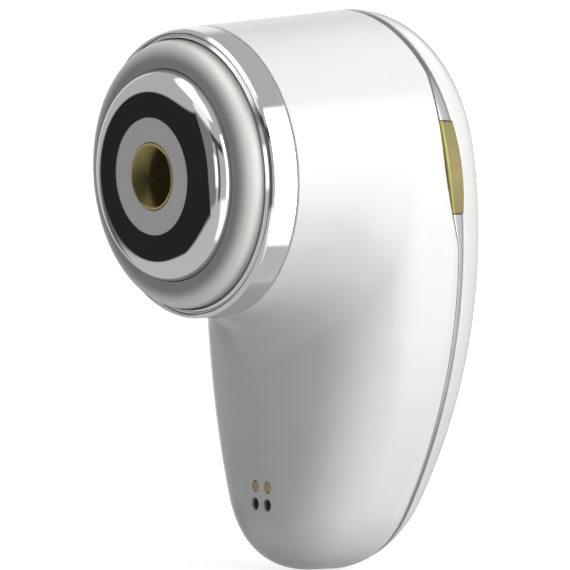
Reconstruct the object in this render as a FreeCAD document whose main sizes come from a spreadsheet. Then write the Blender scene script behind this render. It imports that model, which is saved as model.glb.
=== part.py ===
import FreeCAD, Part
import math
import os
import re

import Sketcher

# Face massager held in the hand: a round treatment head on a barrel that flows into a rounded grip.
# The origin is the centre of the centre electrode's face; -Y points out of that face, +Z up and
# +X to the side with the power button.

# Driving dimensions in millimetres; a name that ends in share is a plain ratio
SIZES = {
    # Hand body: barrel, grip and domed back
    "head_radius": 26.0,
    "barrel_draft_share": 0.027,
    "grip_setback": 11.4,
    "grip_half_width": 27.8,
    "grip_side_radius": 124.0,
    "grip_end_radius": 18.5,
    "grip_front_round": 8.8,
    "grip_front_crown": 75.0,
    "junction_blend": 8.0,
    "back_depth": 60.4,
    "back_drop": 12.0,
    "back_round": 10.0,
    "back_tall_crown": 165.0,
    "back_wide_crown": 90.0,
    "heart_depth_share": 0.43,
    "heart_drop_share": 0.77,
    # Casing walls and the seam between the two shells
    "casing_wall": 2.0,
    "seam_gap": 0.12,
    "parting_depth": 49.6,
    "parting_drop": 17.0,
    "parting_radius": 280.0,
    "trim_width": 1.1,
    "trim_thickness": 3.4,
    "trim_flange": 2.4,
    "trim_flange_gap": 0.1,
    "collar_reach": 3.8,
    "collar_root": 2.6,
    "collar_wall": 1.05,
    "ledge_setback": 5.6,
    "ledge_thickness": 2.5,
    "ledge_inner_radius": 16.8,
    "boss_radius": 2.6,
    "overrun": 1.0,
    # Power button in the widened part of the trim
    "lens_length": 31.0,
    "lens_height": 2.0,
    "lens_bulge": 2.1,
    "button_length": 16.8,
    "button_height": 0.9,
    "button_gap": 0.15,
    "button_crown_radius": 33.0,
    "button_crown_offset": 4.9,
    "button_crown_drop": 2.85,
    "button_drop": 0.5,
    "button_play": 0.35,
    "button_travel": 0.6,
    "button_stem_radius": 1.2,
    "button_stem_gap": 0.3,
    # Tactile switch at the edge of the main board
    "switch_face": 21.4,
    "switch_depth": 3.0,
    "switch_width": 3.4,
    "switch_length": 6.0,
    "switch_gap": 0.1,
    "plunger_radius": 0.9,
    "plunger_gap": 0.15,
    "plunger_reach": 1.2,
    "plunger_root": 1.0,
    # Bezel and the soft ring behind its lip
    "bezel_setback": 7.4,
    "bezel_length": 6.0,
    "bezel_wall": 1.1,
    "bezel_lip": 1.2,
    "bezel_lip_width": 0.6,
    "bezel_groove": 0.3,
    "bezel_groove_width": 0.22,
    "bezel_rim": 0.75,
    "bezel_round": 0.35,
    "bezel_seat_gap": 0.1,
    "collar_gap": 0.15,
    "soft_ring_setback": 3.9,
    "soft_ring_gap": 0.15,
    "soft_ring_outer_round": 3.2,
    "soft_ring_inner_round": 1.6,
    "soft_ring_bead": 0.8,
    "soft_ring_wall": 1.5,
    "soft_ring_outer_wall": 1.3,
    # Electrodes and their carrier
    "centre_radius": 6.0,
    "centre_thickness": 2.2,
    "centre_round": 0.5,
    "centre_stem_radius": 1.5,
    "centre_stem": 8.5,
    "nut_across_flats": 5.5,
    "nut_thickness": 2.2,
    "fit_gap": 0.05,
    "slide_gap": 0.15,
    "insulator_radius": 10.55,
    "insulator_setback": 0.55,
    "insulator_flange_radius": 12.4,
    "insulator_flange_setback": 1.6,
    "insulator_thickness": 3.85,
    "outer_radius": 19.0,
    "outer_setback": 0.35,
    "outer_wall": 1.2,
    "outer_round": 4.0,
    "outer_skirt": 6.05,
    "outer_inner_chamfer": 0.25,
    "carrier_flange_radius": 20.6,
    "carrier_flange": 1.15,
    # Suspension frame that is screwed to the ledge
    "frame_inner_radius": 21.3,
    "frame_outer_radius": 23.5,
    "frame_flange_radius": 17.5,
    "frame_flange": 1.8,
    "frame_screw_circle": 19.3,
    # Vibration motor behind the carrier
    "motor_drop": 10.5,
    "motor_radius": 3.5,
    "motor_length": 13.0,
    "motor_end": 3.5,
    "motor_floor": 1.1,
    "shaft_radius": 0.5,
    "shaft_length": 7.0,
    "shaft_gap": 0.1,
    "shaft_root": 2.0,
    "weight_radius": 2.9,
    "weight_length": 4.0,
    "weight_gap": 1.8,
    "saddle_length": 10.0,
    "saddle_ear": 3.7,
    "clamp_wall": 0.9,
    "clamp_width": 5.0,
    "clamp_thickness": 1.0,
    "clamp_screw_offset": 5.8,
    # Screws
    "small_screw_radius": 0.75,
    "small_head_radius": 1.3,
    "small_head": 1.0,
    "small_screw_length": 4.0,
    "screw_radius": 0.9,
    "screw_head_radius": 1.75,
    "screw_head": 1.3,
    "screw_length": 7.0,
    "frame_screw_length": 4.0,
    "screw_gap": 0.15,
    "pilot_depth": 9.0,
    # Chassis, battery and boards
    "chassis_setback": 18.4,
    "chassis_thickness": 1.6,
    "chassis_top_radius": 21.3,
    "chassis_low_radius": 13.0,
    "chassis_low_drop": 46.0,
    "upper_screw_offset": 16.6,
    "upper_screw_height": 8.4,
    "lower_screw_offset": 11.5,
    "lower_screw_drop": 47.0,
    "lead_window_width": 17.0,
    "lead_window_height": 5.0,
    "lead_window_bottom": 8.0,
    "battery_radius": 7.0,
    "battery_length": 49.0,
    "battery_top": 1.0,
    "battery_gap": 0.5,
    "battery_button_radius": 2.6,
    "battery_button": 0.8,
    "saddle_half_width": 9.5,
    "saddle_thickness": 4.0,
    "saddle_height": 6.2,
    "cradle_gap": 0.1,
    "cradle_inset": 8.0,
    "strap_thickness": 0.8,
    "strap_width": 8.0,
    "board_thickness": 1.2,
    "board_standoff": 2.2,
    "board_top_radius": 19.5,
    "board_low_radius": 11.0,
    "board_low_drop": 36.0,
    "standoff_radius": 2.2,
    "board_screw_offset": 14.6,
    "board_screw_drop": 10.0,
    "board_low_screw_drop": 41.0,
    # Components on the rear of the main board
    "core_width": 10.0,
    "core_height": 8.0,
    "core_thickness": 3.0,
    "core_leg": 1.4,
    "core_window": 2.1,
    "core_window_height": 4.8,
    "core_offset": 8.0,
    "core_above": 9.0,
    "winding_wall": 1.1,
    "winding_gap": 0.05,
    "chip_side": 7.0,
    "chip_thickness": 1.0,
    "chip_drop": 14.0,
    "driver_width": 5.0,
    "driver_height": 4.0,
    "driver_offset": 8.5,
    "driver_drop": 24.0,
    "capacitor_radius": 2.2,
    "capacitor_length": 4.0,
    "capacitor_offset": 7.0,
    "capacitor_above": 9.0,
    "socket_width": 6.0,
    "socket_height": 3.6,
    "socket_thickness": 2.4,
    "socket_drop": 33.0,
    # Charging contacts low on the grip
    "contact_radius": 1.05,
    "contact_gap": 0.1,
    "contact_flange_gap": 0.3,
    "contact_recess": 0.4,
    "contact_pitch_across": 3.5,
    "contact_pitch_down": 3.15,
    "contact_drop": 58.9,
    "contact_flange_radius": 1.4,
    "contact_flange": 0.7,
    "contact_tail_radius": 0.5,
    "contact_tail": 2.6,
    "contact_board_width": 10.0,
    "contact_board_height": 9.4,
    "contact_board_thickness": 1.0,
    # Insulated leads
    "lead_radius": 0.5,
    "lead_bend": 1.5,
    "battery_lead_spacing": 5.0,
    "lead_height": 10.5,
    "electrode_lead_offset": 6.0,
    "electrode_lead_spacing": 1.5,
    "motor_lead_offset": 11.2,
    "motor_lead_spacing": 1.6,
    "outer_lead_offset": 12.6,
    "outer_lead_height": 7.4,
    "contact_lead_offset": 1.6,
    "contact_lead_drop": 3.6,
}

# Places that follow from the sizes, all measured from the treatment face or the head's axis
PLACES = {
    "casing_front": "bezel_setback + bezel_length",
    "grip_front": "casing_front + grip_setback",
    "collar_radius": "head_radius - bezel_wall - collar_gap",
    "collar_front": "casing_front - collar_reach",
    "ledge_front": "casing_front + ledge_setback",
    "ledge_back": "ledge_front + ledge_thickness",
    "wall_back": "grip_front + casing_wall",
    "chassis_front": "grip_front + chassis_setback",
    "chassis_back": "chassis_front + chassis_thickness",
    "board_front": "chassis_back + board_standoff",
    "board_back": "board_front + board_thickness",
    "battery_axis": "chassis_front - battery_gap - battery_radius",
    "battery_bottom": "battery_top - battery_length",
    "insulator_floor": "centre_thickness + fit_gap",
    "insulator_back": "insulator_setback + insulator_thickness",
    "outer_back": "outer_setback + outer_skirt",
    "carrier_front": "insulator_back + fit_gap",
    "carrier_shoulder": "outer_back + fit_gap",
    "carrier_back": "carrier_shoulder + carrier_flange",
    "carrier_radius": "outer_radius - outer_wall - slide_gap",
    "stem_bore": "centre_stem_radius + slide_gap",
    "soft_inner": "outer_radius + soft_ring_gap",
    "soft_outer": "head_radius - bezel_wall - bezel_lip_width - soft_ring_gap",
    "soft_back": "collar_front - fit_gap",
    "bezel_inner": "head_radius - bezel_wall",
    "frame_front": "collar_front + fit_gap",
    "frame_flange_front": "ledge_front - frame_flange",
    "motor_axis": "carrier_back + motor_floor + motor_radius",
    "motor_height": "-motor_drop",
    "shaft_end": "motor_end + shaft_length",
    "weight_start": "motor_end + weight_gap",
    "saddle_end": "motor_end - shaft_root + slide_gap",
    "saddle_start": "saddle_end - saddle_length",
    "saddle_half": "motor_radius + saddle_ear",
    "clamp_middle": "(saddle_start + saddle_end) / 2",
    "switch_tip": "switch_face + plunger_reach",
    "button_inner": "head_radius - button_drop",
    "button_seat": "button_inner - button_travel - button_play",
    "parting_sag": "parting_drop * parting_drop / parting_radius",
    "button_depth": "parting_depth - trim_width - (lens_bulge + parting_sag) / 2",
    "contact_face": "grip_front + contact_recess",
    "contact_shoulder": "wall_back + contact_flange_gap",
    "contact_board_front": "contact_shoulder + contact_flange",
}

# Counts and proportions of the sampled hand form
RINGS_ALONG = 26
POINTS_AROUND = 40
RING_CROWDING_SHARE = 1.35
POLE_ANGLE_SHARE = 0.01
HALVINGS = 36

doc = FreeCAD.newDocument("face_massager")
sheet = doc.addObject("Spreadsheet::Sheet", "sizes")
for row, (alias, value) in enumerate(SIZES.items(), 1):
    sheet.set(f"A{row}", alias)
    sheet.set(f"B{row}", str(value))
    sheet.setAlias(f"B{row}", alias)
doc.recompute()

subparts = {}


def cells(text):
    """A size or place written out in the sheet's cells."""

    def spelled(match):
        name = match[0]
        if name in PLACES:
            return f"({cells(PLACES[name])})"
        return f"sizes.{name}" if name in SIZES else name

    return re.sub(r"[a-z_]+", spelled, text)


def mm(text):
    """The present value of a size or place."""
    return float(sheet.evalExpression(cells(text)))


def vector(x, y, z):
    return FreeCAD.Vector(mm(x), mm(y), mm(z))


def keep(label, thing):
    """Registers a finished sub-part under the name of its file."""
    thing.Label = label
    subparts[label] = thing
    return thing


def solid_feature(label, shape):
    """A sub-part whose shape is worked out below, in place."""
    thing = doc.addObject("Part::Feature", label)
    thing.Shape = shape
    thing.Placement = FreeCAD.Placement()
    return keep(label, thing)


# Bodies: each sketch corner and circle is held by dimensions that follow the sheet

PLANES = {"X": "YZ_Plane", "Y": "XZ_Plane", "Z": "XY_Plane"}


def new_body(label):
    return keep(label, doc.addObject("PartDesign::Body", label))


def sketch(body, axis, start):
    """An empty sketch square to an axis; across it u, v are x, z on Y, x, y on Z and y, z on X."""
    plane = next(f for f in body.Origin.OriginFeatures if f.Role == PLANES[axis])
    drawing = body.newObject("Sketcher::SketchObject", f"{body.Name}_outline")
    drawing.AttachmentSupport = [(plane, "")]
    drawing.MapMode = "FlatFace"
    sign = "-" if axis == "Y" else ""
    drawing.setExpression(".AttachmentOffset.Base.z", f"{sign}({cells(start)})")
    return drawing


def hold(drawing, kind, geometry, point, text):
    """Dimensions one coordinate of a point, or puts it on the axis where that is zero."""
    if text == "0":
        axis = -2 if kind == "DistanceX" else -1
        drawing.addConstraint(Sketcher.Constraint("PointOnObject", geometry, point, axis))
        return
    index = drawing.addConstraint(Sketcher.Constraint(kind, geometry, point, mm(text)))
    drawing.setExpression(f"Constraints[{index}]", cells(text))


def hold_radius(drawing, geometry, text):
    index = drawing.addConstraint(Sketcher.Constraint("Radius", geometry, mm(text)))
    drawing.setExpression(f"Constraints[{index}]", cells(text))


def draw_corners(drawing, corners):
    """A closed outline of straight lines through corners (u, v)."""
    first = drawing.GeometryCount
    points = [vector(u, v, "0") for u, v in corners]
    count = len(points)
    for i in range(count):
        drawing.addGeometry(Part.LineSegment(points[i], points[(i + 1) % count]), False)
    for i in range(count):
        following = first + (i + 1) % count
        drawing.addConstraint(Sketcher.Constraint("Coincident", first + i, 2, following, 1))
    for i, (u, v) in enumerate(corners):
        hold(drawing, "DistanceX", first + i, 1, u)
        hold(drawing, "DistanceY", first + i, 1, v)


def draw_circle(drawing, u, v, radius):
    circle = Part.Circle(vector(u, v, "0"), FreeCAD.Vector(0, 0, 1), mm(radius))
    index = drawing.addGeometry(circle, False)
    hold(drawing, "DistanceX", index, 3, u)
    hold(drawing, "DistanceY", index, 3, v)
    hold_radius(drawing, index, radius)


def draw_tapered_slot(drawing, top, top_radius, low, low_radius):
    """Two arcs on the vertical axis, the upper one larger, joined by tangent lines."""
    up = FreeCAD.Vector(0, 0, 1)
    tops, lows = vector("0", top, "0"), vector("0", low, "0")
    lean = math.asin((mm(top_radius) - mm(low_radius)) / (tops.y - lows.y))
    upper = Part.ArcOfCircle(Part.Circle(tops, up, mm(top_radius)), -lean, math.pi + lean)
    lower = Part.ArcOfCircle(Part.Circle(lows, up, mm(low_radius)), math.pi + lean, math.tau - lean)
    left = Part.LineSegment(upper.EndPoint, lower.StartPoint)
    right = Part.LineSegment(lower.EndPoint, upper.StartPoint)
    chain = [drawing.addGeometry(edge, False) for edge in (upper, left, lower, right)]
    for i, index in enumerate(chain):
        following = chain[(i + 1) % len(chain)]
        drawing.addConstraint(Sketcher.Constraint("Tangent", index, 2, following, 1))
    for index, height, radius in ((chain[0], top, top_radius), (chain[2], low, low_radius)):
        hold(drawing, "DistanceX", index, 3, "0")
        hold(drawing, "DistanceY", index, 3, height)
        hold_radius(drawing, index, radius)


def draw(drawing, outline):
    """A list is corners, three values are a circle and four a tapered slot."""
    if isinstance(outline, list):
        draw_corners(drawing, outline)
    elif len(outline) == 3:
        draw_circle(drawing, *outline)
    else:
        draw_tapered_slot(drawing, *outline)


def rectangle(u, v, width, height):
    """Corners of a rectangle about a middle point."""
    low, high = f"{u} - ({width}) / 2", f"{u} + ({width}) / 2"
    bottom, top = f"{v} - ({height}) / 2", f"{v} + ({height}) / 2"
    return [(low, bottom), (high, bottom), (high, top), (low, top)]


def prism(body, axis, start, length, *outlines):
    """Adds a straight solid that starts at a place on an axis and runs along it."""
    drawing = sketch(body, axis, start)
    for outline in outlines:
        draw(drawing, outline)
    pad = body.newObject("PartDesign::Pad", f"{body.Name}_pad")
    pad.Profile = drawing
    pad.setExpression("Length", cells(length))
    pad.Reversed = axis == "Y"
    doc.recompute()
    return pad


def pocket(body, axis, start, length, *outlines):
    """Cuts a straight hollow that starts at a place on an axis and runs along it."""
    before = body.Shape.Volume
    drawing = sketch(body, axis, start)
    for outline in outlines:
        draw(drawing, outline)
    cut = body.newObject("PartDesign::Pocket", f"{body.Name}_pocket")
    cut.Profile = drawing
    cut.setExpression("Length", cells(length))
    cut.Reversed = axis != "Y"
    doc.recompute()
    if not body.Shape.Volume < before:
        raise RuntimeError(f"a pocket in {body.Label} removes nothing")
    return cut


def turned(label, corners):
    """A body turned about the head's axis from corners (radius, depth)."""
    body = new_body(label)
    drawing = sketch(body, "Z", "0")
    draw_corners(drawing, corners)
    turn = body.newObject("PartDesign::Revolution", f"{label}_turn")
    turn.Profile = drawing
    turn.ReferenceAxis = (drawing, ["V_Axis"])
    turn.Angle = 360
    doc.recompute()
    return body


def round_rims(body, radius, *rims):
    """Rounds the circular edges that lie at given (radius, depth) about the head's axis."""
    wanted = [(mm(rim), mm(depth)) for rim, depth in rims]
    names = []
    for i, edge in enumerate(body.Shape.Edges, 1):
        curve = edge.Curve
        if not isinstance(curve, Part.Circle):
            continue
        for rim, depth in wanted:
            if math.isclose(curve.Radius, rim, rel_tol=1e-6) and abs(curve.Center.y - depth) < 1e-6:
                names.append(f"Edge{i}")
    if len(names) != len(wanted):
        raise RuntimeError(f"{body.Label} has {len(names)} of {len(wanted)} rims to round")
    base = body.Tip
    fillet = body.newObject("PartDesign::Fillet", f"{body.Name}_round")
    fillet.Base = (base, names)
    fillet.setExpression("Radius", cells(radius))
    doc.recompute()
    return fillet


# Straight primitives for pieces that are plain rods, discs and blocks

TURNS = {
    "X": FreeCAD.Rotation(FreeCAD.Vector(0, 1, 0), 90),
    "Y": FreeCAD.Rotation(FreeCAD.Vector(1, 0, 0), -90),
    "Z": FreeCAD.Rotation(),
}


def place(thing, at):
    for letter, text in zip("xyz", at):
        thing.setExpression(f".Placement.Base.{letter}", cells(text))


def rod(name, axis, at, radius, length):
    thing = doc.addObject("Part::Cylinder", name)
    thing.Placement.Rotation = TURNS[axis]
    thing.setExpression("Radius", cells(radius))
    thing.setExpression("Height", cells(length))
    place(thing, at)
    return thing


def block(name, at, length, width, height):
    thing = doc.addObject("Part::Box", name)
    for side, text in (("Length", length), ("Width", width), ("Height", height)):
        thing.setExpression(side, cells(text))
    place(thing, at)
    return thing


def fuse(name, *things):
    thing = doc.addObject("Part::MultiFuse", name)
    thing.Shapes = list(things)
    return thing


def cut(name, base, tool):
    thing = doc.addObject("Part::Cut", name)
    thing.Base = base
    thing.Tool = tool
    return thing


def group(label, things):
    """Separate like pieces in one sub-part."""
    thing = doc.addObject("Part::Compound", label)
    thing.Links = list(things)
    return keep(label, thing)


def screws(label, seats, head_radius, head, shank_radius, length, head_side):
    """Pan-head screws along Y; each seat is where the head bears, head_side - in front or + behind."""
    pieces = []
    for i, (x, y, z) in enumerate(seats):
        head_start = f"{y} - {head}" if head_side == "-" else y
        shank_start = y if head_side == "-" else f"{y} - {length}"
        cap = rod(f"{label}_head_{i}", "Y", (x, head_start, z), head_radius, head)
        shank = rod(f"{label}_shank_{i}", "Y", (x, shank_start, z), shank_radius, length)
        pieces.append(fuse(f"{label}_{i}", cap, shank))
    return group(label, pieces)


# Hand form: the barrel blended into the grip and closed by a domed back. A form is a field that is
# negative inside; its skin is found along rays from an inner point and lofted ring by ring.


def rounded_meeting(first, second, radius):
    """Field of the space behind two walls whose shared edge is rounded, with the walls' shares."""
    a, b = first + radius, second + radius
    if a > 0 and b > 0:
        reach = math.hypot(a, b)
        return reach - radius, a / reach, b / reach
    return (first, 1.0, 0.0) if first > second else (second, 0.0, 1.0)


class HandForm:
    def __init__(self, inset, front):
        self.inset = mm(inset)
        self.front = mm(front)
        self.heart_y = mm("grip_front + heart_depth_share * (back_depth - grip_front)")
        self.heart_z = mm("-heart_drop_share * head_radius")
        self.far = mm("back_depth + grip_side_radius")
        self.barrel_radius = mm("head_radius")
        self.draft = mm("barrel_draft_share")
        self.bezel_y = mm("bezel_setback")
        self.parting_y = mm("parting_depth")
        self.grip_y = mm("grip_front")
        self.side_radius = mm("grip_side_radius")
        self.end_radius = mm("grip_end_radius")
        self.front_round = mm("grip_front_round")
        self.front_crown = mm("grip_front_crown")
        self.back_round = mm("back_round")
        self.blend = mm("junction_blend")
        self.back = [mm(n) for n in ("back_depth", "back_drop", "back_tall_crown", "back_wide_crown")]
        self.top_radius = self.radius_at(self.parting_y)
        self.side_x = mm("grip_half_width - grip_side_radius")
        lift = (self.side_radius - self.top_radius) ** 2 - self.side_x**2
        fall = (self.side_radius - self.end_radius) ** 2 - self.side_x**2
        self.side_z = -math.sqrt(lift)
        self.low_z = self.side_z - math.sqrt(fall)

    def radius_at(self, y):
        return self.barrel_radius + self.draft * (y - self.bezel_y)

    def oval(self, x, z):
        """Distance outside the grip's egg-shaped outline, with the outward direction there."""
        across, rise = abs(x) - self.side_x, z - self.side_z
        if across * self.side_z + rise * -self.side_x > 0:
            centre_x, centre_z, radius = 0.0, 0.0, self.top_radius
        elif across * (self.low_z - self.side_z) + rise * self.side_x > 0:
            centre_x, centre_z, radius = 0.0, self.low_z, self.end_radius
        else:
            centre_x, centre_z, radius = self.side_x, self.side_z, self.side_radius
        out_x, out_z = abs(x) - centre_x, z - centre_z
        reach = math.hypot(out_x, out_z)
        return reach - radius, math.copysign(out_x / reach, x), out_z / reach

    def field(self, x, y, z):
        spread = math.hypot(x, z)
        barrel = spread - self.radius_at(y)
        outline, out_x, out_z = self.oval(x, z)
        outline += self.draft * (self.parting_y - y)
        face = self.grip_y + x * x / (2 * self.front_crown) - y
        grip, side_part, _ = rounded_meeting(outline, face, self.front_round)
        # The concave blend grows with the angle between the barrel's wall and the grip's
        alike = side_part * (x * out_x + z * out_z) / spread if spread else 0.0
        width = self.blend * (1 - alike)
        body = min(barrel, grip)
        if width > 0:
            body -= max(width - abs(barrel - grip), 0.0) ** 2 / (4 * width)
        depth, drop, tall, wide = self.back
        dome = y - depth + (z + drop) ** 2 / (2 * tall) + x * x / (2 * wide)
        return rounded_meeting(body, dome, self.back_round)[0] + self.inset

    def skin_point(self, direction):
        """Where a ray from the inner point leaves the form."""
        near, far = 0.0, self.far
        for _ in range(HALVINGS):
            middle = (near + far) / 2
            point = FreeCAD.Vector(0, self.heart_y, self.heart_z) + direction * middle
            if self.field(point.x, point.y, point.z) < 0:
                near = middle
            else:
                far = middle
        return point

    def ring(self, along):
        """One closed ring of skin points, from the barrel's open end (0) to the back's middle (1)."""
        mouth = self.radius_at(self.front) - self.inset
        last = math.pi * (1 - POLE_ANGLE_SHARE)
        points = []
        for j in range(POINTS_AROUND):
            turn = math.tau * j / POINTS_AROUND
            side = FreeCAD.Vector(math.sin(turn), 0, math.cos(turn))
            slope = self.heart_z * side.z
            reach = math.sqrt(slope**2 + mouth**2 - self.heart_z**2) - slope
            rim = FreeCAD.Vector(0, self.front, self.heart_z) + side * reach
            first = math.atan2(reach, self.heart_y - self.front)
            tilt = first + along * (last - first)
            direction = side * math.sin(tilt) - FreeCAD.Vector(0, math.cos(tilt), 0)
            points.append(self.skin_point(direction) if along else rim)
        return points

    def solid(self):
        wires = []
        for i in range(RINGS_ALONG + 1):
            points = self.ring((i / RINGS_ALONG) ** RING_CROWDING_SHARE)
            if i == RINGS_ALONG:
                level = sum(point.y for point in points) / len(points)
                points = [FreeCAD.Vector(point.x, level, point.z) for point in points]
            curve = Part.BSplineCurve()
            curve.interpolate(points, PeriodicFlag=True)
            wires.append(Part.Wire([curve.toShape()]))
        return Part.makeLoft(wires, True, False)


outer_form = HandForm("0", "casing_front").solid()
inner_form = HandForm("casing_wall", "casing_front - overrun").solid()
trim_form = HandForm("trim_thickness", "casing_front - overrun").solid()
flange_form = HandForm("casing_wall + trim_flange_gap", "casing_front - overrun").solid()


# Seam: a sheet that bows backwards in the side view, with a lens-shaped widening beside the button


def seam_point(ahead, height):
    """A point of the seam's middle plane at a height, moved ahead of the rear seam."""
    radius = mm("parting_radius") - ahead
    middle = mm("parting_depth - parting_radius")
    rise = height + mm("parting_drop")
    return FreeCAD.Vector(0, middle + math.sqrt(radius**2 - rise**2), height)


def arc_through(ahead, low, high, push=0.0):
    """An arc of the seam between two heights, its middle pushed forwards."""
    middle = seam_point(ahead, (low + high) / 2) - FreeCAD.Vector(0, push, 0)
    return Part.Arc(seam_point(ahead, low), middle, seam_point(ahead, high)).toShape()


def ahead_of_seam(ahead, widened):
    """All space in front of the seam moved ahead; widened adds the lens on the button's side."""
    low, high = -mm("grip_side_radius"), mm("back_depth")
    plain = [arc_through(ahead, low, high)]
    lens_low = mm("lens_height - lens_length / 2")
    lens_high = mm("lens_height + lens_length / 2")
    swollen = [
        arc_through(ahead, low, lens_low),
        arc_through(ahead, lens_low, lens_high, mm("lens_bulge")),
        arc_through(ahead, lens_high, high),
    ]
    reach = mm("grip_half_width + back_depth")
    front = -mm("back_depth")
    halves = []
    for edges, start in ((plain, -reach), (swollen if widened else plain, 0.0)):
        top, bottom = seam_point(ahead, high), seam_point(ahead, low)
        far_top = FreeCAD.Vector(0, front, high)
        far_bottom = FreeCAD.Vector(0, front, low)
        sides = [Part.makeLine(top, far_top), Part.makeLine(far_top, far_bottom)]
        sides.append(Part.makeLine(far_bottom, bottom))
        face = Part.Face(Part.Wire(edges + sides))
        face.translate(FreeCAD.Vector(start, 0, 0))
        halves.append(face.extrude(FreeCAD.Vector(reach, 0, 0)))
    return halves[0].fuse(halves[1])


def box(low, high):
    size = high - low
    return Part.makeBox(size.x, size.y, size.z, low)


def button_window(gap):
    """The button's stretch of the trim, all along +X, less a gap at both ends."""
    low = vector("0", "0", "button_height - button_length / 2")
    high = vector("grip_half_width + back_depth", "back_depth", "button_height + button_length / 2")
    slack = FreeCAD.Vector(0, 0, mm(gap))
    return box(low + slack, high - slack)


def rod_shape(x, y, z, axis, radius, length):
    return Part.makeCylinder(mm(radius), mm(length), vector(x, y, z), axis)


ALONG_X = FreeCAD.Vector(1, 0, 0)
ALONG_Y = FreeCAD.Vector(0, 1, 0)
SIDES = ("", "-")

front_of_cover = ahead_of_seam(0.0, False)
front_of_trim = ahead_of_seam(mm("trim_width"), True)
front_of_seat = ahead_of_seam(mm("trim_width + seam_gap"), True)
behind_cut = ahead_of_seam(-mm("seam_gap"), False)
wall = outer_form.cut(inner_form)

upper_seats = [(f"{side}upper_screw_offset", "upper_screw_height") for side in SIDES]
lower_seats = [(f"{side}lower_screw_offset", "-lower_screw_drop") for side in SIDES]
contact_seats = [
    (f"{side}contact_pitch_across / 2", f"-contact_drop {sign} contact_pitch_down / 2")
    for side in SIDES
    for sign in "+-"
]
THIRDS = [(math.tau * i / 3 + math.pi / 2) for i in range(3)]
frame_seats = [
    (f"frame_screw_circle * {math.cos(turn):.6f}", f"frame_screw_circle * {math.sin(turn):.6f}")
    for turn in THIRDS
]


def front_housing():
    """White front shell with the bezel's collar, the head's ledge, screw bosses and contact holes."""
    shell = wall.common(front_of_seat)
    collar_length = "collar_reach + collar_root"
    collar = rod_shape("0", "collar_front", "0", ALONG_Y, "collar_radius", collar_length)
    mouth_radius = "collar_radius - collar_wall"
    collar = collar.cut(rod_shape("0", "collar_front", "0", ALONG_Y, mouth_radius, collar_length))
    ledge = rod_shape("0", "ledge_front", "0", ALONG_Y, "head_radius - casing_wall / 2", "ledge_thickness")
    ledge = ledge.cut(rod_shape("0", "ledge_front", "0", ALONG_Y, "ledge_inner_radius", "ledge_thickness"))
    bosses = []
    for x, z in upper_seats:
        bosses.append(rod_shape(x, "ledge_front", z, ALONG_Y, "boss_radius", "chassis_front - ledge_front"))
    for x, z in lower_seats:
        boss = rod_shape(x, "grip_front", z, ALONG_Y, "boss_radius", "chassis_setback")
        bosses.append(boss.common(outer_form))
    shell = shell.multiFuse([collar, ledge, *bosses])
    holes = []
    for x, z in upper_seats + lower_seats:
        holes.append(rod_shape(x, "chassis_front - pilot_depth", z, ALONG_Y, "screw_radius", "pilot_depth"))
    for x, z in frame_seats:
        holes.append(rod_shape(x, "ledge_front", z, ALONG_Y, "screw_radius", "ledge_thickness"))
    for x, z in contact_seats:
        bore = "contact_radius + contact_gap"
        holes.append(rod_shape(x, "grip_front - overrun", z, ALONG_Y, bore, "casing_wall + 3 * overrun"))
    return shell.cut(Part.makeCompound(holes))


def rear_cover():
    """White domed rear shell, pressed and bonded onto the trim's flange."""
    return wall.cut(behind_cut)


def trim_band():
    """Metallic band in the seam, with a flange inside both shells and a pocket for the power button."""
    visible = outer_form.common(front_of_cover.cut(front_of_trim))
    forward = ahead_of_seam(mm("trim_width + trim_flange"), True)
    backward = ahead_of_seam(-mm("trim_flange"), False)
    flange = flange_form.common(backward.cut(forward))
    band = visible.fuse(flange).cut(trim_form)
    hollow = button_window("0").cut(rod_shape("0", "0", "0", ALONG_Y, "button_seat", "back_depth"))
    slot = front_of_cover.cut(front_of_trim)
    bore = "button_stem_radius + button_stem_gap"
    hole = rod_shape("0", "button_depth", "button_height", ALONG_X, bore, "grip_half_width")
    return band.cut(Part.makeCompound([hollow.common(slot), hole]))


def power_button():
    """Gold rocker-shaped cap between the shells, on a stem that meets the switch."""
    slot = ahead_of_seam(mm("button_gap"), False).cut(ahead_of_seam(mm("trim_width - button_gap"), True))
    slot = slot.common(button_window("button_gap"))
    crown = rod_shape("-button_crown_offset", "0", "-button_crown_drop", ALONG_Y,
                      "button_crown_radius", "back_depth")
    cap = crown.common(slot).cut(rod_shape("0", "0", "0", ALONG_Y, "button_inner", "back_depth"))
    stem_length = "button_inner + button_drop - switch_tip"
    stem_radius = "button_stem_radius"
    stem = rod_shape("switch_tip", "button_depth", "button_height", ALONG_X, stem_radius, stem_length)
    return cap.fuse(stem)


solid_feature("front_housing", front_housing())
solid_feature("rear_cover", rear_cover())
solid_feature("trim_band", trim_band())
solid_feature("power_button", power_button())


# Tactile switch that the button's stem presses

switch = new_body("switch_body")
prism(switch, "X", "switch_face - switch_depth", "switch_depth",
      rectangle("button_depth", "button_height", "switch_width", "switch_length"))
pocket(switch, "X", "switch_face - plunger_root", "plunger_root",
       ("button_depth", "button_height", "plunger_radius + plunger_gap"))
plunger_root = ("switch_face - plunger_gap", "button_depth", "button_height")
plunger_length = "plunger_reach + plunger_gap"
keep("switch_plunger", rod("switch_plunger", "X", plunger_root, "plunger_radius", plunger_length))


# Treatment head: bezel, soft ring, electrodes and their carrier, turned about the head's axis

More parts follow.
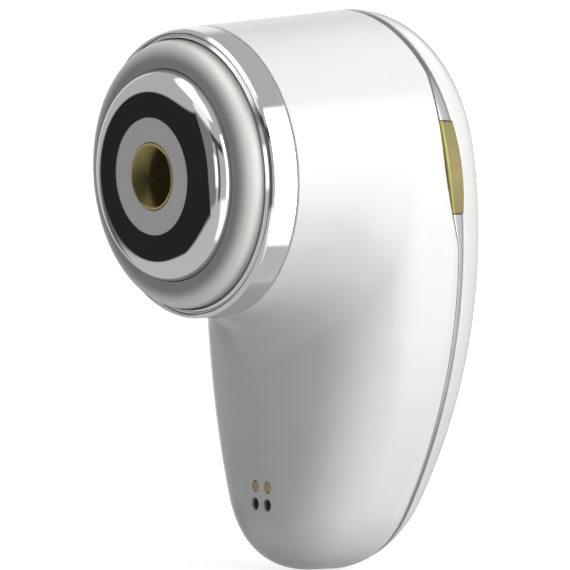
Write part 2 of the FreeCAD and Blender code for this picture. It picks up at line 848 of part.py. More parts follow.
rim_inner = "bezel_inner - bezel_lip_width"
rim_step = "head_radius - bezel_rim"
bezel = turned("head_bezel", [
    (rim_inner, "bezel_setback + bezel_groove"),
    (f"{rim_step} - bezel_groove_width", "bezel_setback + bezel_groove"),
    (f"{rim_step} - bezel_groove_width", "bezel_setback + 2 * bezel_groove"),
    (rim_step, "bezel_setback + 2 * bezel_groove"),
    (rim_step, "bezel_setback"),
    ("head_radius", "bezel_setback"),
    ("head_radius + barrel_draft_share * bezel_length", "casing_front - bezel_seat_gap"),
    ("bezel_inner", "casing_front - bezel_seat_gap"),
    ("bezel_inner", "bezel_setback + bezel_lip"),
    (rim_inner, "bezel_setback + bezel_lip"),
])
round_rims(bezel, "bezel_round", ("head_radius", "bezel_setback"))

soft = turned("soft_ring", [
    ("soft_inner", "soft_ring_setback"),
    ("soft_outer", "soft_ring_setback"),
    ("soft_outer", "soft_back - soft_ring_bead"),
    ("bezel_inner - soft_ring_gap", "soft_back - soft_ring_bead"),
    ("bezel_inner - soft_ring_gap", "soft_back"),
    ("soft_outer - soft_ring_outer_wall", "soft_back"),
    ("soft_outer - soft_ring_outer_wall", "soft_ring_setback + soft_ring_wall"),
    ("soft_inner + soft_ring_wall", "soft_ring_setback + soft_ring_wall"),
    ("soft_inner + soft_ring_wall", "carrier_shoulder - slide_gap"),
    ("soft_inner", "carrier_shoulder - slide_gap"),
])
round_rims(soft, "soft_ring_outer_round", ("soft_outer", "soft_ring_setback"))
round_rims(soft, "soft_ring_inner_round", ("soft_inner", "soft_ring_setback"))

outer_electrode = turned("outer_electrode", [
    ("insulator_radius + slide_gap", "outer_setback + outer_inner_chamfer"),
    ("insulator_radius + slide_gap + outer_inner_chamfer", "outer_setback"),
    ("outer_radius", "outer_setback"),
    ("outer_radius", "outer_back"),
    ("outer_radius - outer_wall", "outer_back"),
    ("outer_radius - outer_wall", "outer_setback + outer_wall"),
    ("insulator_radius + slide_gap", "outer_setback + outer_wall"),
])
round_rims(outer_electrode, "outer_round", ("outer_radius", "outer_setback"))
round_rims(outer_electrode, "outer_round - outer_wall",
           ("outer_radius - outer_wall", "outer_setback + outer_wall"))
pocket(outer_electrode, "Y", "outer_setback + outer_wall / 2", "outer_wall",
       ("outer_lead_offset", "outer_lead_height", "lead_radius + slide_gap"))

turned("insulator_ring", [
    ("stem_bore", "insulator_floor"),
    ("centre_radius + slide_gap", "insulator_floor"),
    ("centre_radius + slide_gap", "insulator_setback"),
    ("insulator_radius", "insulator_setback"),
    ("insulator_radius", "insulator_flange_setback"),
    ("insulator_flange_radius", "insulator_flange_setback"),
    ("insulator_flange_radius", "insulator_back"),
    ("stem_bore", "insulator_back"),
])

centre = turned("centre_electrode", [
    ("0", "0"),
    ("centre_radius", "0"),
    ("centre_radius", "centre_thickness"),
    ("centre_stem_radius", "centre_thickness"),
    ("centre_stem_radius", "centre_thickness + centre_stem"),
    ("0", "centre_thickness + centre_stem"),
])
round_rims(centre, "centre_round", ("centre_radius", "0"))

nut = new_body("electrode_nut")
NUT_CORNER_SHARE = 1 / math.sqrt(3)
NUT_SIDE_SHARE = NUT_CORNER_SHARE / 2
prism(nut, "Y", "carrier_back + fit_gap", "nut_thickness", [
    (f"{sign}nut_across_flats * {share:.6f}", height)
    for sign, share, height in (
        ("-", NUT_CORNER_SHARE, "0"),
        ("-", NUT_SIDE_SHARE, "-nut_across_flats / 2"),
        ("", NUT_SIDE_SHARE, "-nut_across_flats / 2"),
        ("", NUT_CORNER_SHARE, "0"),
        ("", NUT_SIDE_SHARE, "nut_across_flats / 2"),
        ("-", NUT_SIDE_SHARE, "nut_across_flats / 2"),
    )
])
pocket(nut, "Y", "carrier_back", "nut_thickness + overrun", ("0", "0", "stem_bore"))

carrier = turned("electrode_carrier", [
    ("stem_bore", "carrier_front"),
    ("carrier_radius", "carrier_front"),
    ("carrier_radius", "carrier_shoulder"),
    ("carrier_flange_radius", "carrier_shoulder"),
    ("carrier_flange_radius", "carrier_back"),
    ("stem_bore", "carrier_back"),
])
saddle_width = "saddle_end - saddle_start"
prism(carrier, "Y", "carrier_back - fit_gap", "motor_axis - carrier_back + fit_gap",
      rectangle("clamp_middle", "motor_height", saddle_width, "2 * saddle_half"))
pocket(carrier, "X", "saddle_start - overrun", f"{saddle_width} + 2 * overrun",
       ("motor_axis", "motor_height", "motor_radius + fit_gap"))
pocket(carrier, "Y", "carrier_front - overrun", "carrier_back - carrier_front + 2 * overrun",
       ("outer_lead_offset", "outer_lead_height", "lead_radius + slide_gap"))
clamp_seats = [("clamp_middle", f"motor_height {sign} clamp_screw_offset") for sign in "+-"]
pocket(carrier, "Y", "motor_axis - small_screw_length + clamp_thickness", "small_screw_length",
       *[(x, z, "small_screw_radius") for x, z in clamp_seats])

frame = turned("suspension_frame", [
    ("frame_inner_radius", "frame_front"),
    ("frame_outer_radius", "frame_front"),
    ("frame_outer_radius", "ledge_front"),
    ("frame_flange_radius", "ledge_front"),
    ("frame_flange_radius", "frame_flange_front"),
    ("frame_inner_radius", "frame_flange_front"),
])
pocket(frame, "Y", "frame_flange_front - overrun", "frame_flange + 2 * overrun",
       *[(x, z, "screw_radius + screw_gap") for x, z in frame_seats])
screws("frame_screws", [(x, "frame_flange_front", z) for x, z in frame_seats],
       "screw_head_radius", "screw_head", "screw_radius", "frame_screw_length", "-")


# Vibration motor: can, turning shaft with its eccentric weight, and the clamp over the can

can = new_body("motor_can")
prism(can, "X", "motor_end - motor_length", "motor_length", ("motor_axis", "motor_height", "motor_radius"))
pocket(can, "X", "motor_end - shaft_root", "shaft_root + overrun",
       ("motor_axis", "motor_height", "shaft_radius + shaft_gap"))
shaft_start = ("motor_end - shaft_root + shaft_gap", "motor_axis", "motor_height")
shaft_whole = "shaft_length + shaft_root - shaft_gap"
keep("motor_shaft", rod("motor_shaft", "X", shaft_start, "shaft_radius", shaft_whole))

weight = new_body("eccentric_weight")
prism(weight, "X", "weight_start", "weight_length", ("motor_axis", "motor_height", "weight_radius"))
pocket(weight, "X", "weight_start - overrun", "weight_length + 2 * overrun",
       rectangle("motor_axis", "motor_height + shaft_radius * 2 + weight_radius / 2",
                 "2 * weight_radius + overrun", "weight_radius"))
pocket(weight, "X", "weight_start - overrun", "weight_length + 2 * overrun",
       ("motor_axis", "motor_height", "shaft_radius"))

clamp = new_body("motor_clamp")
clamp_start = "clamp_middle - clamp_width / 2"
prism(clamp, "X", clamp_start, "clamp_width", ("motor_axis", "motor_height", "motor_radius + clamp_wall"))
prism(clamp, "Y", "motor_axis", "clamp_thickness",
      rectangle("clamp_middle", "motor_height", "clamp_width", "2 * saddle_half"))
pocket(clamp, "X", f"{clamp_start} - overrun", "clamp_width + 2 * overrun",
       ("motor_axis", "motor_height", "motor_radius + fit_gap"))
pocket(clamp, "Y", "motor_axis - 2 * motor_radius", "2 * motor_radius",
       rectangle("clamp_middle", "motor_height", "clamp_width + overrun", "2 * saddle_half + overrun"))
pocket(clamp, "Y", "motor_axis - overrun", "clamp_thickness + 2 * overrun",
       *[(x, z, "small_screw_radius + screw_gap") for x, z in clamp_seats])
screws("clamp_screws", [(x, "motor_axis + clamp_thickness", z) for x, z in clamp_seats],
       "small_head_radius", "small_head", "small_screw_radius", "small_screw_length", "+")


# Chassis plate with battery cradles and board standoffs, screwed to the front housing

board_seats = [(f"{side}board_screw_offset", "-board_screw_drop") for side in SIDES]
board_seats.append(("0", "-board_low_screw_drop"))
motor_lead_seats = [("-motor_lead_offset", f"motor_height {sign} motor_lead_spacing / 2") for sign in "+-"]

chassis = new_body("chassis")
prism(chassis, "Y", "chassis_front", "chassis_thickness",
      ("0", "chassis_top_radius", "-chassis_low_drop", "chassis_low_radius"))
cradles = ["battery_top - cradle_inset", "battery_bottom + cradle_inset"]
prism(chassis, "Y", "chassis_front - saddle_height", "saddle_height + fit_gap",
      *[rectangle("0", middle, "2 * saddle_half_width", "saddle_thickness") for middle in cradles])
pocket(chassis, "Z", "battery_bottom", "battery_length", ("0", "battery_axis", "battery_radius + cradle_gap"))
prism(chassis, "Y", "chassis_back - fit_gap", "board_standoff + fit_gap",
      *[(x, z, "standoff_radius") for x, z in board_seats])
pocket(chassis, "Y", "chassis_back - chassis_thickness", "board_standoff + chassis_thickness",
       *[(x, z, "small_screw_radius") for x, z in board_seats])
pocket(chassis, "Y", "chassis_front - overrun", "chassis_thickness + 2 * overrun",
       *[(x, z, "screw_radius + screw_gap") for x, z in upper_seats + lower_seats])
window_middle = "lead_window_bottom + lead_window_height / 2"
pocket(chassis, "Y", "chassis_front - overrun", "chassis_thickness + 2 * overrun",
       rectangle("0", window_middle, "lead_window_width", "lead_window_height"),
       *[(x, z, "lead_radius + slide_gap") for x, z in motor_lead_seats])
screws("chassis_screws", [(x, "chassis_back", z) for x, z in upper_seats + lower_seats],
       "screw_head_radius", "screw_head", "screw_radius", "screw_length", "+")


# Battery cell in the cradles under its strap

can_start = ("0", "battery_axis", "battery_bottom")
cap_start = ("0", "battery_axis", "battery_top")
cell = fuse("battery_cell",
            rod("cell_can", "Z", can_start, "battery_radius", "battery_length"),
            rod("cell_cap", "Z", cap_start, "battery_button_radius", "battery_button"))
keep("battery_cell", cell)

strap = new_body("battery_strap")
strap_start = "battery_top - battery_length / 2 - strap_width / 2"
strap_radius = "battery_radius + cradle_gap + strap_thickness"
prism(strap, "Z", strap_start, "strap_width", ("0", "battery_axis", strap_radius))
prism(strap, "Z", strap_start, "strap_width",
      rectangle("0", "(battery_axis + chassis_front) / 2", f"2 * ({strap_radius})",
                "chassis_front - battery_axis"))
pocket(strap, "Z", f"{strap_start} - overrun", "strap_width + 2 * overrun",
       ("0", "battery_axis", "battery_radius + cradle_gap"))
pocket(strap, "Z", f"{strap_start} - overrun", "strap_width + 2 * overrun",
       rectangle("0", "(battery_axis + chassis_front + overrun) / 2", "2 * (battery_radius + cradle_gap)",
                 "chassis_front + overrun - battery_axis"))


# Main board behind the chassis, notched for the switch, with what it carries

board = new_body("main_board")
prism(board, "Y", "board_front", "board_thickness",
      ("0", "board_top_radius", "-board_low_drop", "board_low_radius"))
pocket(board, "Y", "board_front - overrun", "board_thickness + 2 * overrun",
       rectangle("switch_face", "button_height", "2 * (switch_depth + switch_gap)",
                 "switch_length + 2 * switch_gap"))
pocket(board, "Y", "board_front - overrun", "board_thickness + 2 * overrun",
       *[(x, z, "small_screw_radius + screw_gap") for x, z in board_seats])
screws("board_screws", [(x, "board_back", z) for x, z in board_seats],
       "small_head_radius", "small_head", "small_screw_radius", "small_screw_length", "+")

core_front = "board_back + winding_wall + winding_gap"
core = new_body("transformer_core")
windows = [
    rectangle(f"-core_offset {sign} (core_leg + core_window / 2)", "core_above",
              "core_window", "core_window_height")
    for sign in "+-"
]
prism(core, "Y", core_front, "core_thickness",
      rectangle("-core_offset", "core_above", "core_width", "core_height"))
pocket(core, "Y", f"{core_front} - overrun", "core_thickness + 2 * overrun", *windows)

winding = new_body("transformer_winding")
winding_start = "core_above - core_window_height / 2 + winding_gap"
winding_length = "core_window_height - 2 * winding_gap"
winding_middle = f"{core_front} + core_thickness / 2"
prism(winding, "Z", winding_start, winding_length,
      rectangle("-core_offset", winding_middle, "2 * (core_leg + core_window - winding_gap)",
                "core_thickness + 2 * (winding_wall + winding_gap)"))
pocket(winding, "Z", f"{winding_start} - overrun", f"{winding_length} + 2 * overrun",
       rectangle("-core_offset", winding_middle, "2 * (core_leg + winding_gap)",
                 "core_thickness + 2 * winding_gap"))

group("board_components", [
    block("controller", ("-chip_side / 2", "board_back", "-chip_drop - chip_side / 2"),
          "chip_side", "chip_thickness", "chip_side"),
    block("driver", ("driver_offset - driver_width / 2", "board_back", "-driver_drop - driver_height / 2"),
          "driver_width", "chip_thickness", "driver_height"),
    rod("capacitor", "Y", ("capacitor_offset", "board_back", "capacitor_above"),
        "capacitor_radius", "capacitor_length"),
    block("lead_socket", ("-socket_width / 2", "board_back", "-socket_drop - socket_height / 2"),
          "socket_width", "socket_thickness", "socket_height"),
])


# Charging contacts through the grip's front wall, soldered to a small board of their own

pins = []
for i, (x, z) in enumerate(contact_seats):
    pin = fuse(f"contact_{i}",
               rod(f"contact_face_{i}", "Y", (x, "contact_face", z), "contact_radius",
                   "contact_shoulder - contact_face"),
               rod(f"contact_flange_{i}", "Y", (x, "contact_shoulder", z),
                   "contact_flange_radius", "contact_flange"),
               rod(f"contact_tail_{i}", "Y", (x, "contact_board_front", z),
                   "contact_tail_radius", "contact_tail"))
    pins.append(pin)
group("charge_contacts", pins)

contact_board = new_body("contact_board")
prism(contact_board, "Y", "contact_board_front", "contact_board_thickness",
      rectangle("0", "-contact_drop", "contact_board_width", "contact_board_height"))
pocket(contact_board, "Y", "contact_board_front - overrun", "contact_board_thickness + 2 * overrun",
       *[(x, z, "contact_tail_radius + fit_gap") for x, z in contact_seats])


# Insulated leads: straight runs joined by tangent arcs


def lead_shape(route):
    """A round wire along a route whose corners are bent to one radius."""
    points = [vector(*point) for point in route]
    bend = mm("lead_bend")
    edges = []
    start = points[0]
    for before, corner, after in zip(points, points[1:], points[2:]):
        back = (before - corner).normalize()
        ahead = (after - corner).normalize()
        half = back.getAngle(ahead) / 2
        reach = bend / math.tan(half)
        middle = corner + (back + ahead).normalize() * (bend / math.sin(half) - bend)
        edges.append(Part.LineSegment(start, corner + back * reach).toShape())
        edges.append(Part.Arc(corner + back * reach, middle, corner + ahead * reach).toShape())
        start = corner + ahead * reach
    edges.append(Part.LineSegment(start, points[-1]).toShape())
    path = Part.Wire(edges)
    section = Part.Wire([Part.Circle(points[0], points[1] - points[0], mm("lead_radius")).toShape()])
    wire = path.makePipeShell([section], True, False)
    expected = math.pi * mm("lead_radius") ** 2 * path.Length
    if not math.isclose(wire.Volume, expected, rel_tol=1e-3):
        raise RuntimeError("a lead's volume does not follow from its length")
    return wire


def leads(label, *routes):
    return solid_feature(label, Part.makeCompound([lead_shape(route) for route in routes]))


stem_end = "centre_thickness + centre_stem"
second_lead = "electrode_lead_offset + electrode_lead_spacing"
leads("electrode_leads",
      [("0", stem_end, "0"), ("0", "ledge_back", "0"),
       ("electrode_lead_offset", "battery_axis", "lead_height"),
       ("electrode_lead_offset", "board_front", "lead_height")],
      [("outer_lead_offset", "outer_setback + outer_wall / 2", "outer_lead_height"),
       ("outer_lead_offset", "ledge_back", "outer_lead_height"), (second_lead, "battery_axis", "lead_height"),
       (second_lead, "board_front", "lead_height")])

leads("motor_leads", *[
    [("motor_end - motor_length", "motor_axis", z), (x, "motor_axis", z), (x, "board_front", z)]
    for x, z in motor_lead_seats
])

leads("battery_leads", *[
    [(x, "battery_axis", start), (x, "battery_axis", "lead_height"), (x, "board_front", "lead_height")]
    for x, start in (("0", "battery_top + battery_button"), ("-battery_lead_spacing", "battery_top"))
])

tail_drop = "-contact_drop - contact_lead_drop"
board_middle = "board_front + board_thickness / 2"
leads("contact_leads", *[
    [(x, "contact_board_front + contact_board_thickness", tail_drop), (x, board_middle, tail_drop),
     (x, board_middle, "-board_low_drop - board_low_radius")]
    for x in ("contact_lead_offset", "-contact_lead_offset")
])


# Nothing is written unless every object and every sub-part is sound

doc.recompute()
for thing in doc.Objects:
    if {"Invalid", "Error"} & set(thing.State):
        raise RuntimeError(f"{thing.Label} failed to rebuild: {thing.State}")
for label, thing in subparts.items():
    if thing.Shape.isNull() or not thing.Shape.isValid() or not thing.Shape.Solids:
        raise RuntimeError(f"{label} has no sound solid")

os.makedirs("parts", exist_ok=True)
for label, thing in subparts.items():
    thing.Shape.exportStep(os.path.join("parts", f"{label}.step"))
    print(f"{label}: {len(thing.Shape.Solids)} solid(s), {thing.Shape.Volume:.1f} mm3")
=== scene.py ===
import math

import bmesh
import bpy
import numpy as np
from mathutils import Matrix, Vector

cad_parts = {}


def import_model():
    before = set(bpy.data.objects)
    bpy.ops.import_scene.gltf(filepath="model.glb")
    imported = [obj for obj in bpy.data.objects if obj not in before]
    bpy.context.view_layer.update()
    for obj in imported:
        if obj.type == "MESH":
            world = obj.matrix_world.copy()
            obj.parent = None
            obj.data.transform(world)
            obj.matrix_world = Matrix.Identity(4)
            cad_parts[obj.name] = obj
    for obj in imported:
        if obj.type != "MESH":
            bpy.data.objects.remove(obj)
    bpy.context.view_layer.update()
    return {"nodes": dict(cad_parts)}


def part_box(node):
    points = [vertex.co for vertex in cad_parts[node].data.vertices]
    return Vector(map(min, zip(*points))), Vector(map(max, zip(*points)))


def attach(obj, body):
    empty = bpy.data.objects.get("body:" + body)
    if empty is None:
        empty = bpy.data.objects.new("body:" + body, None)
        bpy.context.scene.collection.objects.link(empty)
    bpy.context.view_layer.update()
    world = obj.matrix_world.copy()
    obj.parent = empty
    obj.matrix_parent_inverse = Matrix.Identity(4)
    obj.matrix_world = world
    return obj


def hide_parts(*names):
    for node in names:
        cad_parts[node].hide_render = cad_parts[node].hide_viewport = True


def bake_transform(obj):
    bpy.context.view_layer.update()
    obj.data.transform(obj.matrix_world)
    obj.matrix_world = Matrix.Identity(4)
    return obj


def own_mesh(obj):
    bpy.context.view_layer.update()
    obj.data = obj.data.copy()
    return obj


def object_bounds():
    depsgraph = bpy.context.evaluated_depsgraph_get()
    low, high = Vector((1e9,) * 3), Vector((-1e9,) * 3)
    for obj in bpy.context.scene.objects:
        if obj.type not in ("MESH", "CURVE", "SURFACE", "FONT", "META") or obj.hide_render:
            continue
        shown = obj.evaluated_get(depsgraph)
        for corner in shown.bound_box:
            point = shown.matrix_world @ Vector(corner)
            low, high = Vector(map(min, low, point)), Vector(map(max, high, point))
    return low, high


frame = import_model()
nodes = frame["nodes"]


# Inner mouldings: chassis, carrier, suspension frame and switch in black nylon, and the battery's
# strap. The chassis is screwed to bosses of the front shell; the frame is screwed to the ledge
# behind the head, and the carrier floats in it.

MM = 0.001
BLOTCH = 0.3, 0.7


def add_node(tree, kind, settings=None, sockets=None):
    """A node with its settings; a socket takes a constant, a shader value, or outputs to link."""
    node = tree.nodes.new(kind)
    for key, value in (settings or {}).items():
        setattr(node, key, value)
    for key, value in (sockets or {}).items():
        for source in value if isinstance(value, list) else [value]:
            source = source.socket if isinstance(source, Value) else source
            if isinstance(source, bpy.types.NodeSocket):
                tree.links.new(source, node.inputs[key])
            else:
                node.inputs[key].default_value = source
    return node


class Value:
    """A shader value that is summed and scaled like a number."""

    def __init__(self, finish, socket):
        self.finish = finish
        self.socket = socket

    def math(self, operation, *others):
        sockets = dict(enumerate((self, *others)))
        node = self.finish.node("ShaderNodeMath", {"operation": operation}, sockets)
        return Value(self.finish, node.outputs[0])

    def __add__(self, other):
        return self.math("ADD", other)

    def __sub__(self, other):
        return self.math("SUBTRACT", other)

    def __rsub__(self, other):
        return self.math("MULTIPLY", -1.0).math("ADD", other)

    def __mul__(self, other):
        return self.math("MULTIPLY", other)

    __radd__ = __add__
    __rmul__ = __mul__

    def step(self, low, high):
        """0 below low, 1 above high and smooth between."""
        sockets = {"Value": self, "From Min": low, "From Max": high}
        node = self.finish.node("ShaderNodeMapRange", {"interpolation_type": "SMOOTHSTEP"}, sockets)
        return Value(self.finish, node.outputs[0])

    def between(self, low, high, soft):
        """1 between two limits, with soft edges."""
        return self.step(low - soft, low + soft) * (1.0 - self.step(high - soft, high + soft))


class Finish:
    """One material, or the studio's surroundings, put together node by node."""

    def __init__(self, name, kind="materials"):
        self.block = getattr(bpy.data, kind).new(name)
        self.block.use_nodes = True
        self.tree = self.block.node_tree
        self.tree.nodes.clear()
        self.place = Value(self, self.node("ShaderNodeTexCoord").outputs["Object"])

    def node(self, kind, settings=None, sockets=None):
        return add_node(self.tree, kind, settings, sockets)

    def noise(self, size, detail=3.0, stretch=(1.0, 1.0, 1.0)):
        """Soft mottling whose blotches are about size millimetres across, drawn out along an axis."""
        place = self.node("ShaderNodeMapping", sockets={"Vector": self.place, "Scale": stretch}).outputs[0]
        sockets = {"Vector": place, "Scale": 1.0 / (size * MM), "Detail": detail}
        return Value(self, self.node("ShaderNodeTexNoise", sockets=sockets).outputs[0])

    def axes(self):
        """The three coordinates in millimetres."""
        split = self.node("ShaderNodeSeparateXYZ", sockets={0: self.place})
        return [Value(self, output) * (1.0 / MM) for output in split.outputs]

    def from_axis(self):
        """Distance from the head's axis in millimetres."""
        x, _, z = self.axes()
        return (x * x + z * z).math("SQRT")

    def colours(self, share, first, second):
        """A mix of two colours, each three numbers or a shader value."""
        first, second = (end if isinstance(end, Value) else (*end, 1.0) for end in (first, second))
        mix = self.node("ShaderNodeMix", {"data_type": "RGBA"}, {0: share, 6: first, 7: second})
        return Value(self, mix.outputs[2])

    def relief(self, height, depth, strength=1.0):
        """A bump whose full height is depth millimetres."""
        sockets = {"Height": height, "Distance": depth * MM, "Strength": strength}
        return Value(self, self.node("ShaderNodeBump", sockets=sockets).outputs[0])

    def surface(self, **sockets):
        named = {key.replace("_", " "): value for key, value in sockets.items()}
        shader = self.node("ShaderNodeBsdfPrincipled", sockets=named)
        self.node("ShaderNodeOutputMaterial", sockets={0: shader.outputs[0]})
        return self.block


def shade(colour, factor):
    return tuple(min(1.0, channel * factor) for channel in colour)


def moulded(name, colour, roughness, grain=0.5, depth=0.01):
    """Moulded plastic with a spark-eroded grain and slightly uneven gloss."""
    finish = Finish(name)
    cloud = finish.noise(11.0)
    return finish.surface(
        Base_Color=finish.colours(cloud.step(*BLOTCH), shade(colour, 0.92), shade(colour, 1.06)),
        Roughness=roughness + (cloud - 0.5) * 0.12,
        Normal=finish.relief(finish.noise(grain), depth),
    )


def dress(material, *names):
    """Puts a finish on the solids of the frame."""
    for name in names:
        for place in nodes[name].material_slots:
            place.material = material


black_nylon = moulded("black_nylon", (0.022, 0.022, 0.024), 0.48)
dress(black_nylon, "chassis", "electrode_carrier", "suspension_frame", "switch_body")
dress(moulded("strap_plastic", (0.05, 0.05, 0.055), 0.38, 0.9), "battery_strap")
dress(moulded("switch_cap", (0.34, 0.03, 0.025), 0.4), "switch_plunger")


# Battery cell: a steel can in a shrunk plastic sleeve, held in the chassis cradles by the strap.
# The sleeve ends short of both faces and shows bare steel there.

SLEEVE_LOW, SLEEVE_HIGH, SLEEVE_EDGE = -46.9, 0.2, 0.1
sleeve = Finish("cell_sleeve")
_, _, cell_height = sleeve.axes()
bare_end = 1.0 - cell_height.between(SLEEVE_LOW, SLEEVE_HIGH, SLEEVE_EDGE)
wrinkle = sleeve.noise(2.4, 4.0, (1.0, 1.0, 0.25))
dress(sleeve.surface(
    Base_Color=sleeve.colours(bare_end, (0.03, 0.10, 0.27), (0.62, 0.62, 0.63)),
    Metallic=bare_end,
    Roughness=0.28 + (wrinkle - 0.5) * 0.12,
    Normal=sleeve.relief(wrinkle, 0.02),
), "battery_cell")


# Main board and contact board: glass-fibre laminate under green lacquer, with copper tracks that
# show as slightly raised lighter lines. The components and the transformer's ferrite core are
# soldered on.

TRACK_WAVE, BREAK_WAVE = 1.9, 0.35
laminate = Finish("board_laminate")
across, _, up = laminate.axes()
track = (across * TRACK_WAVE).math("SINE").step(0.72, 0.86)
track = track * (up * BREAK_WAVE).math("SINE").step(-0.3, 0.1)
lacquer = laminate.noise(5.0)
dress(laminate.surface(
    Base_Color=laminate.colours(track, (0.006, 0.085, 0.030), (0.020, 0.20, 0.075)),
    Roughness=0.32 + (lacquer - 0.5) * 0.1,
    Normal=laminate.relief(track, 0.03),
), "main_board", "contact_board")
dress(moulded("component_case", (0.018, 0.018, 0.02), 0.36, 0.3, 0.006), "board_components")
dress(moulded("ferrite", (0.045, 0.043, 0.045), 0.62, 0.35, 0.02), "transformer_core")


# Transformer winding: enamelled copper wire wound in close turns round the core's middle leg.
# Each turn is a rounded loop, and the turns are stacked along the leg in three layers.


class Maker:
    """A geometry tree with named sizes, put together node by node."""

    SHARP = math.radians(32)

    def __init__(self, name, *sizes):
        self.tree = bpy.data.node_groups.new(name, "GeometryNodeTree")
        labels = self.tree.interface
        labels.new_socket("Geometry", in_out="INPUT", socket_type="NodeSocketGeometry")
        for size in sizes:
            labels.new_socket(size, in_out="INPUT", socket_type="NodeSocketFloat")
        labels.new_socket("Geometry", in_out="OUTPUT", socket_type="NodeSocketGeometry")
        self.start = self.tree.nodes.new("NodeGroupInput").outputs
        self.end = self.tree.nodes.new("NodeGroupOutput")

    def node(self, kind, settings=None, sockets=None):
        return add_node(self.tree, kind, settings, sockets).outputs[0]

    def sum(self, first, second, factor=1.0):
        """first + factor * second."""
        settings = {"operation": "MULTIPLY_ADD"}
        return self.node("ShaderNodeMath", settings, {0: second, 1: factor, 2: first})

    def spot(self, **axes):
        return self.node("ShaderNodeCombineXYZ", sockets=axes)

    def moved(self, piece, **sockets):
        return self.node("GeometryNodeTransform", sockets={"Geometry": piece, **sockets})

    def finish(self, points, piece, material):
        """Sets the piece on every point, as one plain mesh in one material."""
        placed = self.node("GeometryNodeInstanceOnPoints", sockets={"Points": points, "Instance": piece})
        plain = self.node("GeometryNodeRealizeInstances", sockets={0: placed})
        painted = self.node("GeometryNodeSetMaterial", sockets={"Geometry": plain, "Material": material})
        self.tree.links.new(painted, self.end.inputs[0])

    def build(self, name, points, edges=(), **sizes):
        """The finished piece on given points (mm), as an object of its own at the origin."""
        seed = bpy.data.meshes.new(name)
        seed.from_pydata([[c * MM for c in point] for point in points], list(edges), [])
        thing = bpy.data.objects.new(name, seed)
        bpy.context.scene.collection.objects.link(thing)
        maker = thing.modifiers.new("maker", "NODES")
        maker.node_group = self.tree
        for item in self.tree.interface.items_tree:
            if item.in_out == "INPUT" and item.name in sizes:
                maker[item.identifier] = sizes[item.name]
        bpy.context.view_layer.update()
        evaluated = thing.evaluated_get(bpy.context.evaluated_depsgraph_get())
        mesh = bpy.data.meshes.new_from_object(evaluated)
        thing.modifiers.remove(maker)
        thing.data = mesh
        mesh.set_sharp_from_angle(angle=self.SHARP)
        return thing


def bare_metal(name, colour, roughness, stretch=(1.0, 1.0, 1.0), marks=0.25):
    """Metal with fine drawn-out marks and uneven polish."""
    finish = Finish(name)
    lines = finish.noise(marks, 4.0, stretch)
    cloud = finish.noise(7.0)
    return finish.surface(
        Base_Color=finish.colours(cloud.step(*BLOTCH), shade(colour, 0.94), shade(colour, 1.04)),
        Metallic=1.0,
        Roughness=roughness + (lines - 0.5) * 0.10 + (cloud - 0.5) * 0.05,
        Normal=finish.relief(lines, 0.003),
    )


copper = bare_metal("enamelled_copper", (0.60, 0.24, 0.11), 0.24)
winding = Maker("winding_turns", "Width", "Depth", "Corner", "Wire")
loop = winding.node("GeometryNodeCurvePrimitiveQuadrilateral",
                    sockets={"Width": winding.start["Width"], "Height": winding.start["Depth"]})
loop = winding.node("GeometryNodeFilletCurve", {"mode": "POLY"},
                    {"Curve": loop, "Radius": winding.start["Corner"], "Count": 5})
wire_section = winding.node("GeometryNodeCurvePrimitiveCircle",
                            sockets={"Resolution": 8, "Radius": winding.start["Wire"]})
one_turn = winding.node("GeometryNodeCurveToMesh", sockets={"Curve": loop, "Profile Curve": wire_section})
winding.finish(winding.start["Geometry"], one_turn, copper)

WIRE, LAYERS, LAYER_PITCH, LOOP_CORNER = 0.14, 3, 1.9, 0.5
low, high = (Vector(corner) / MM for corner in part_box("transformer_winding"))
middle = (low + high) / 2
turns = int((high.z - low.z) / (2 * WIRE))
stack = [(middle.x, middle.y, low.z + WIRE * (2 * i + 1)) for i in range(turns)]
for layer in range(LAYERS):
    inset = 2 * WIRE * (1 + LAYER_PITCH * layer)
    piece = winding.build(
        f"winding_layer_{layer}", stack, Width=(high.x - low.x - inset) * MM,
        Depth=(high.y - low.y - inset) * MM, Corner=LOOP_CORNER * MM, Wire=WIRE * MM)
    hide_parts("transformer_winding")
    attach(piece, "body")


# Vibration motor: a drawn steel can with a turned shaft and a sintered weight, under a bent clamp.
# The clamp is screwed to the carrier's saddle.

drawn_steel = bare_metal("drawn_steel", (0.58, 0.58, 0.59), 0.24, (0.06, 1.0, 1.0))
turned_steel = bare_metal("turned_steel", (0.62, 0.62, 0.63), 0.18, (1.0, 0.2, 0.2))
dress(drawn_steel, "motor_can", "motor_clamp")
dress(turned_steel, "motor_shaft", "electrode_nut")
dress(bare_metal("sintered_weight", (0.36, 0.35, 0.34), 0.42, marks=0.4), "eccentric_weight")


# Screws: pan heads with a cross recess, cold-headed from zinc-plated steel. They hold the frame, the
# motor's clamp, the chassis and the board, and each group repeats one screw on its seats.

CROSS_SPAN, CROSS_WIDTH = 1.15, 0.36
zinc = bare_metal("zinc_plate", (0.60, 0.61, 0.63), 0.26)
screw = Maker("pan_head_screw", "Head Radius", "Head Height", "Shank Radius", "Length", "Recess", "Turn")
head = screw.node("GeometryNodeMeshCylinder", sockets={
    "Vertices": 28, "Radius": screw.start["Head Radius"], "Depth": screw.start["Head Height"]})
head = screw.moved(head, Translation=screw.spot(Z=screw.sum(0.0, screw.start["Head Height"], 0.5)))
bars = []
for quarter in (0.0, math.pi / 2):
    bar_size = screw.spot(X=screw.sum(0.0, screw.start["Head Radius"], CROSS_SPAN),
                          Y=screw.start["Recess"], Z=screw.start["Head Height"])
    bar = screw.node("GeometryNodeMeshCube", sockets={"Size": bar_size})
    bars.append(screw.moved(bar, Rotation=(0.0, 0.0, quarter),
                            Translation=screw.spot(Z=screw.start["Head Height"])))
head = screw.node("GeometryNodeMeshBoolean", {"operation": "DIFFERENCE"}, {"Mesh 1": head, "Mesh 2": bars})
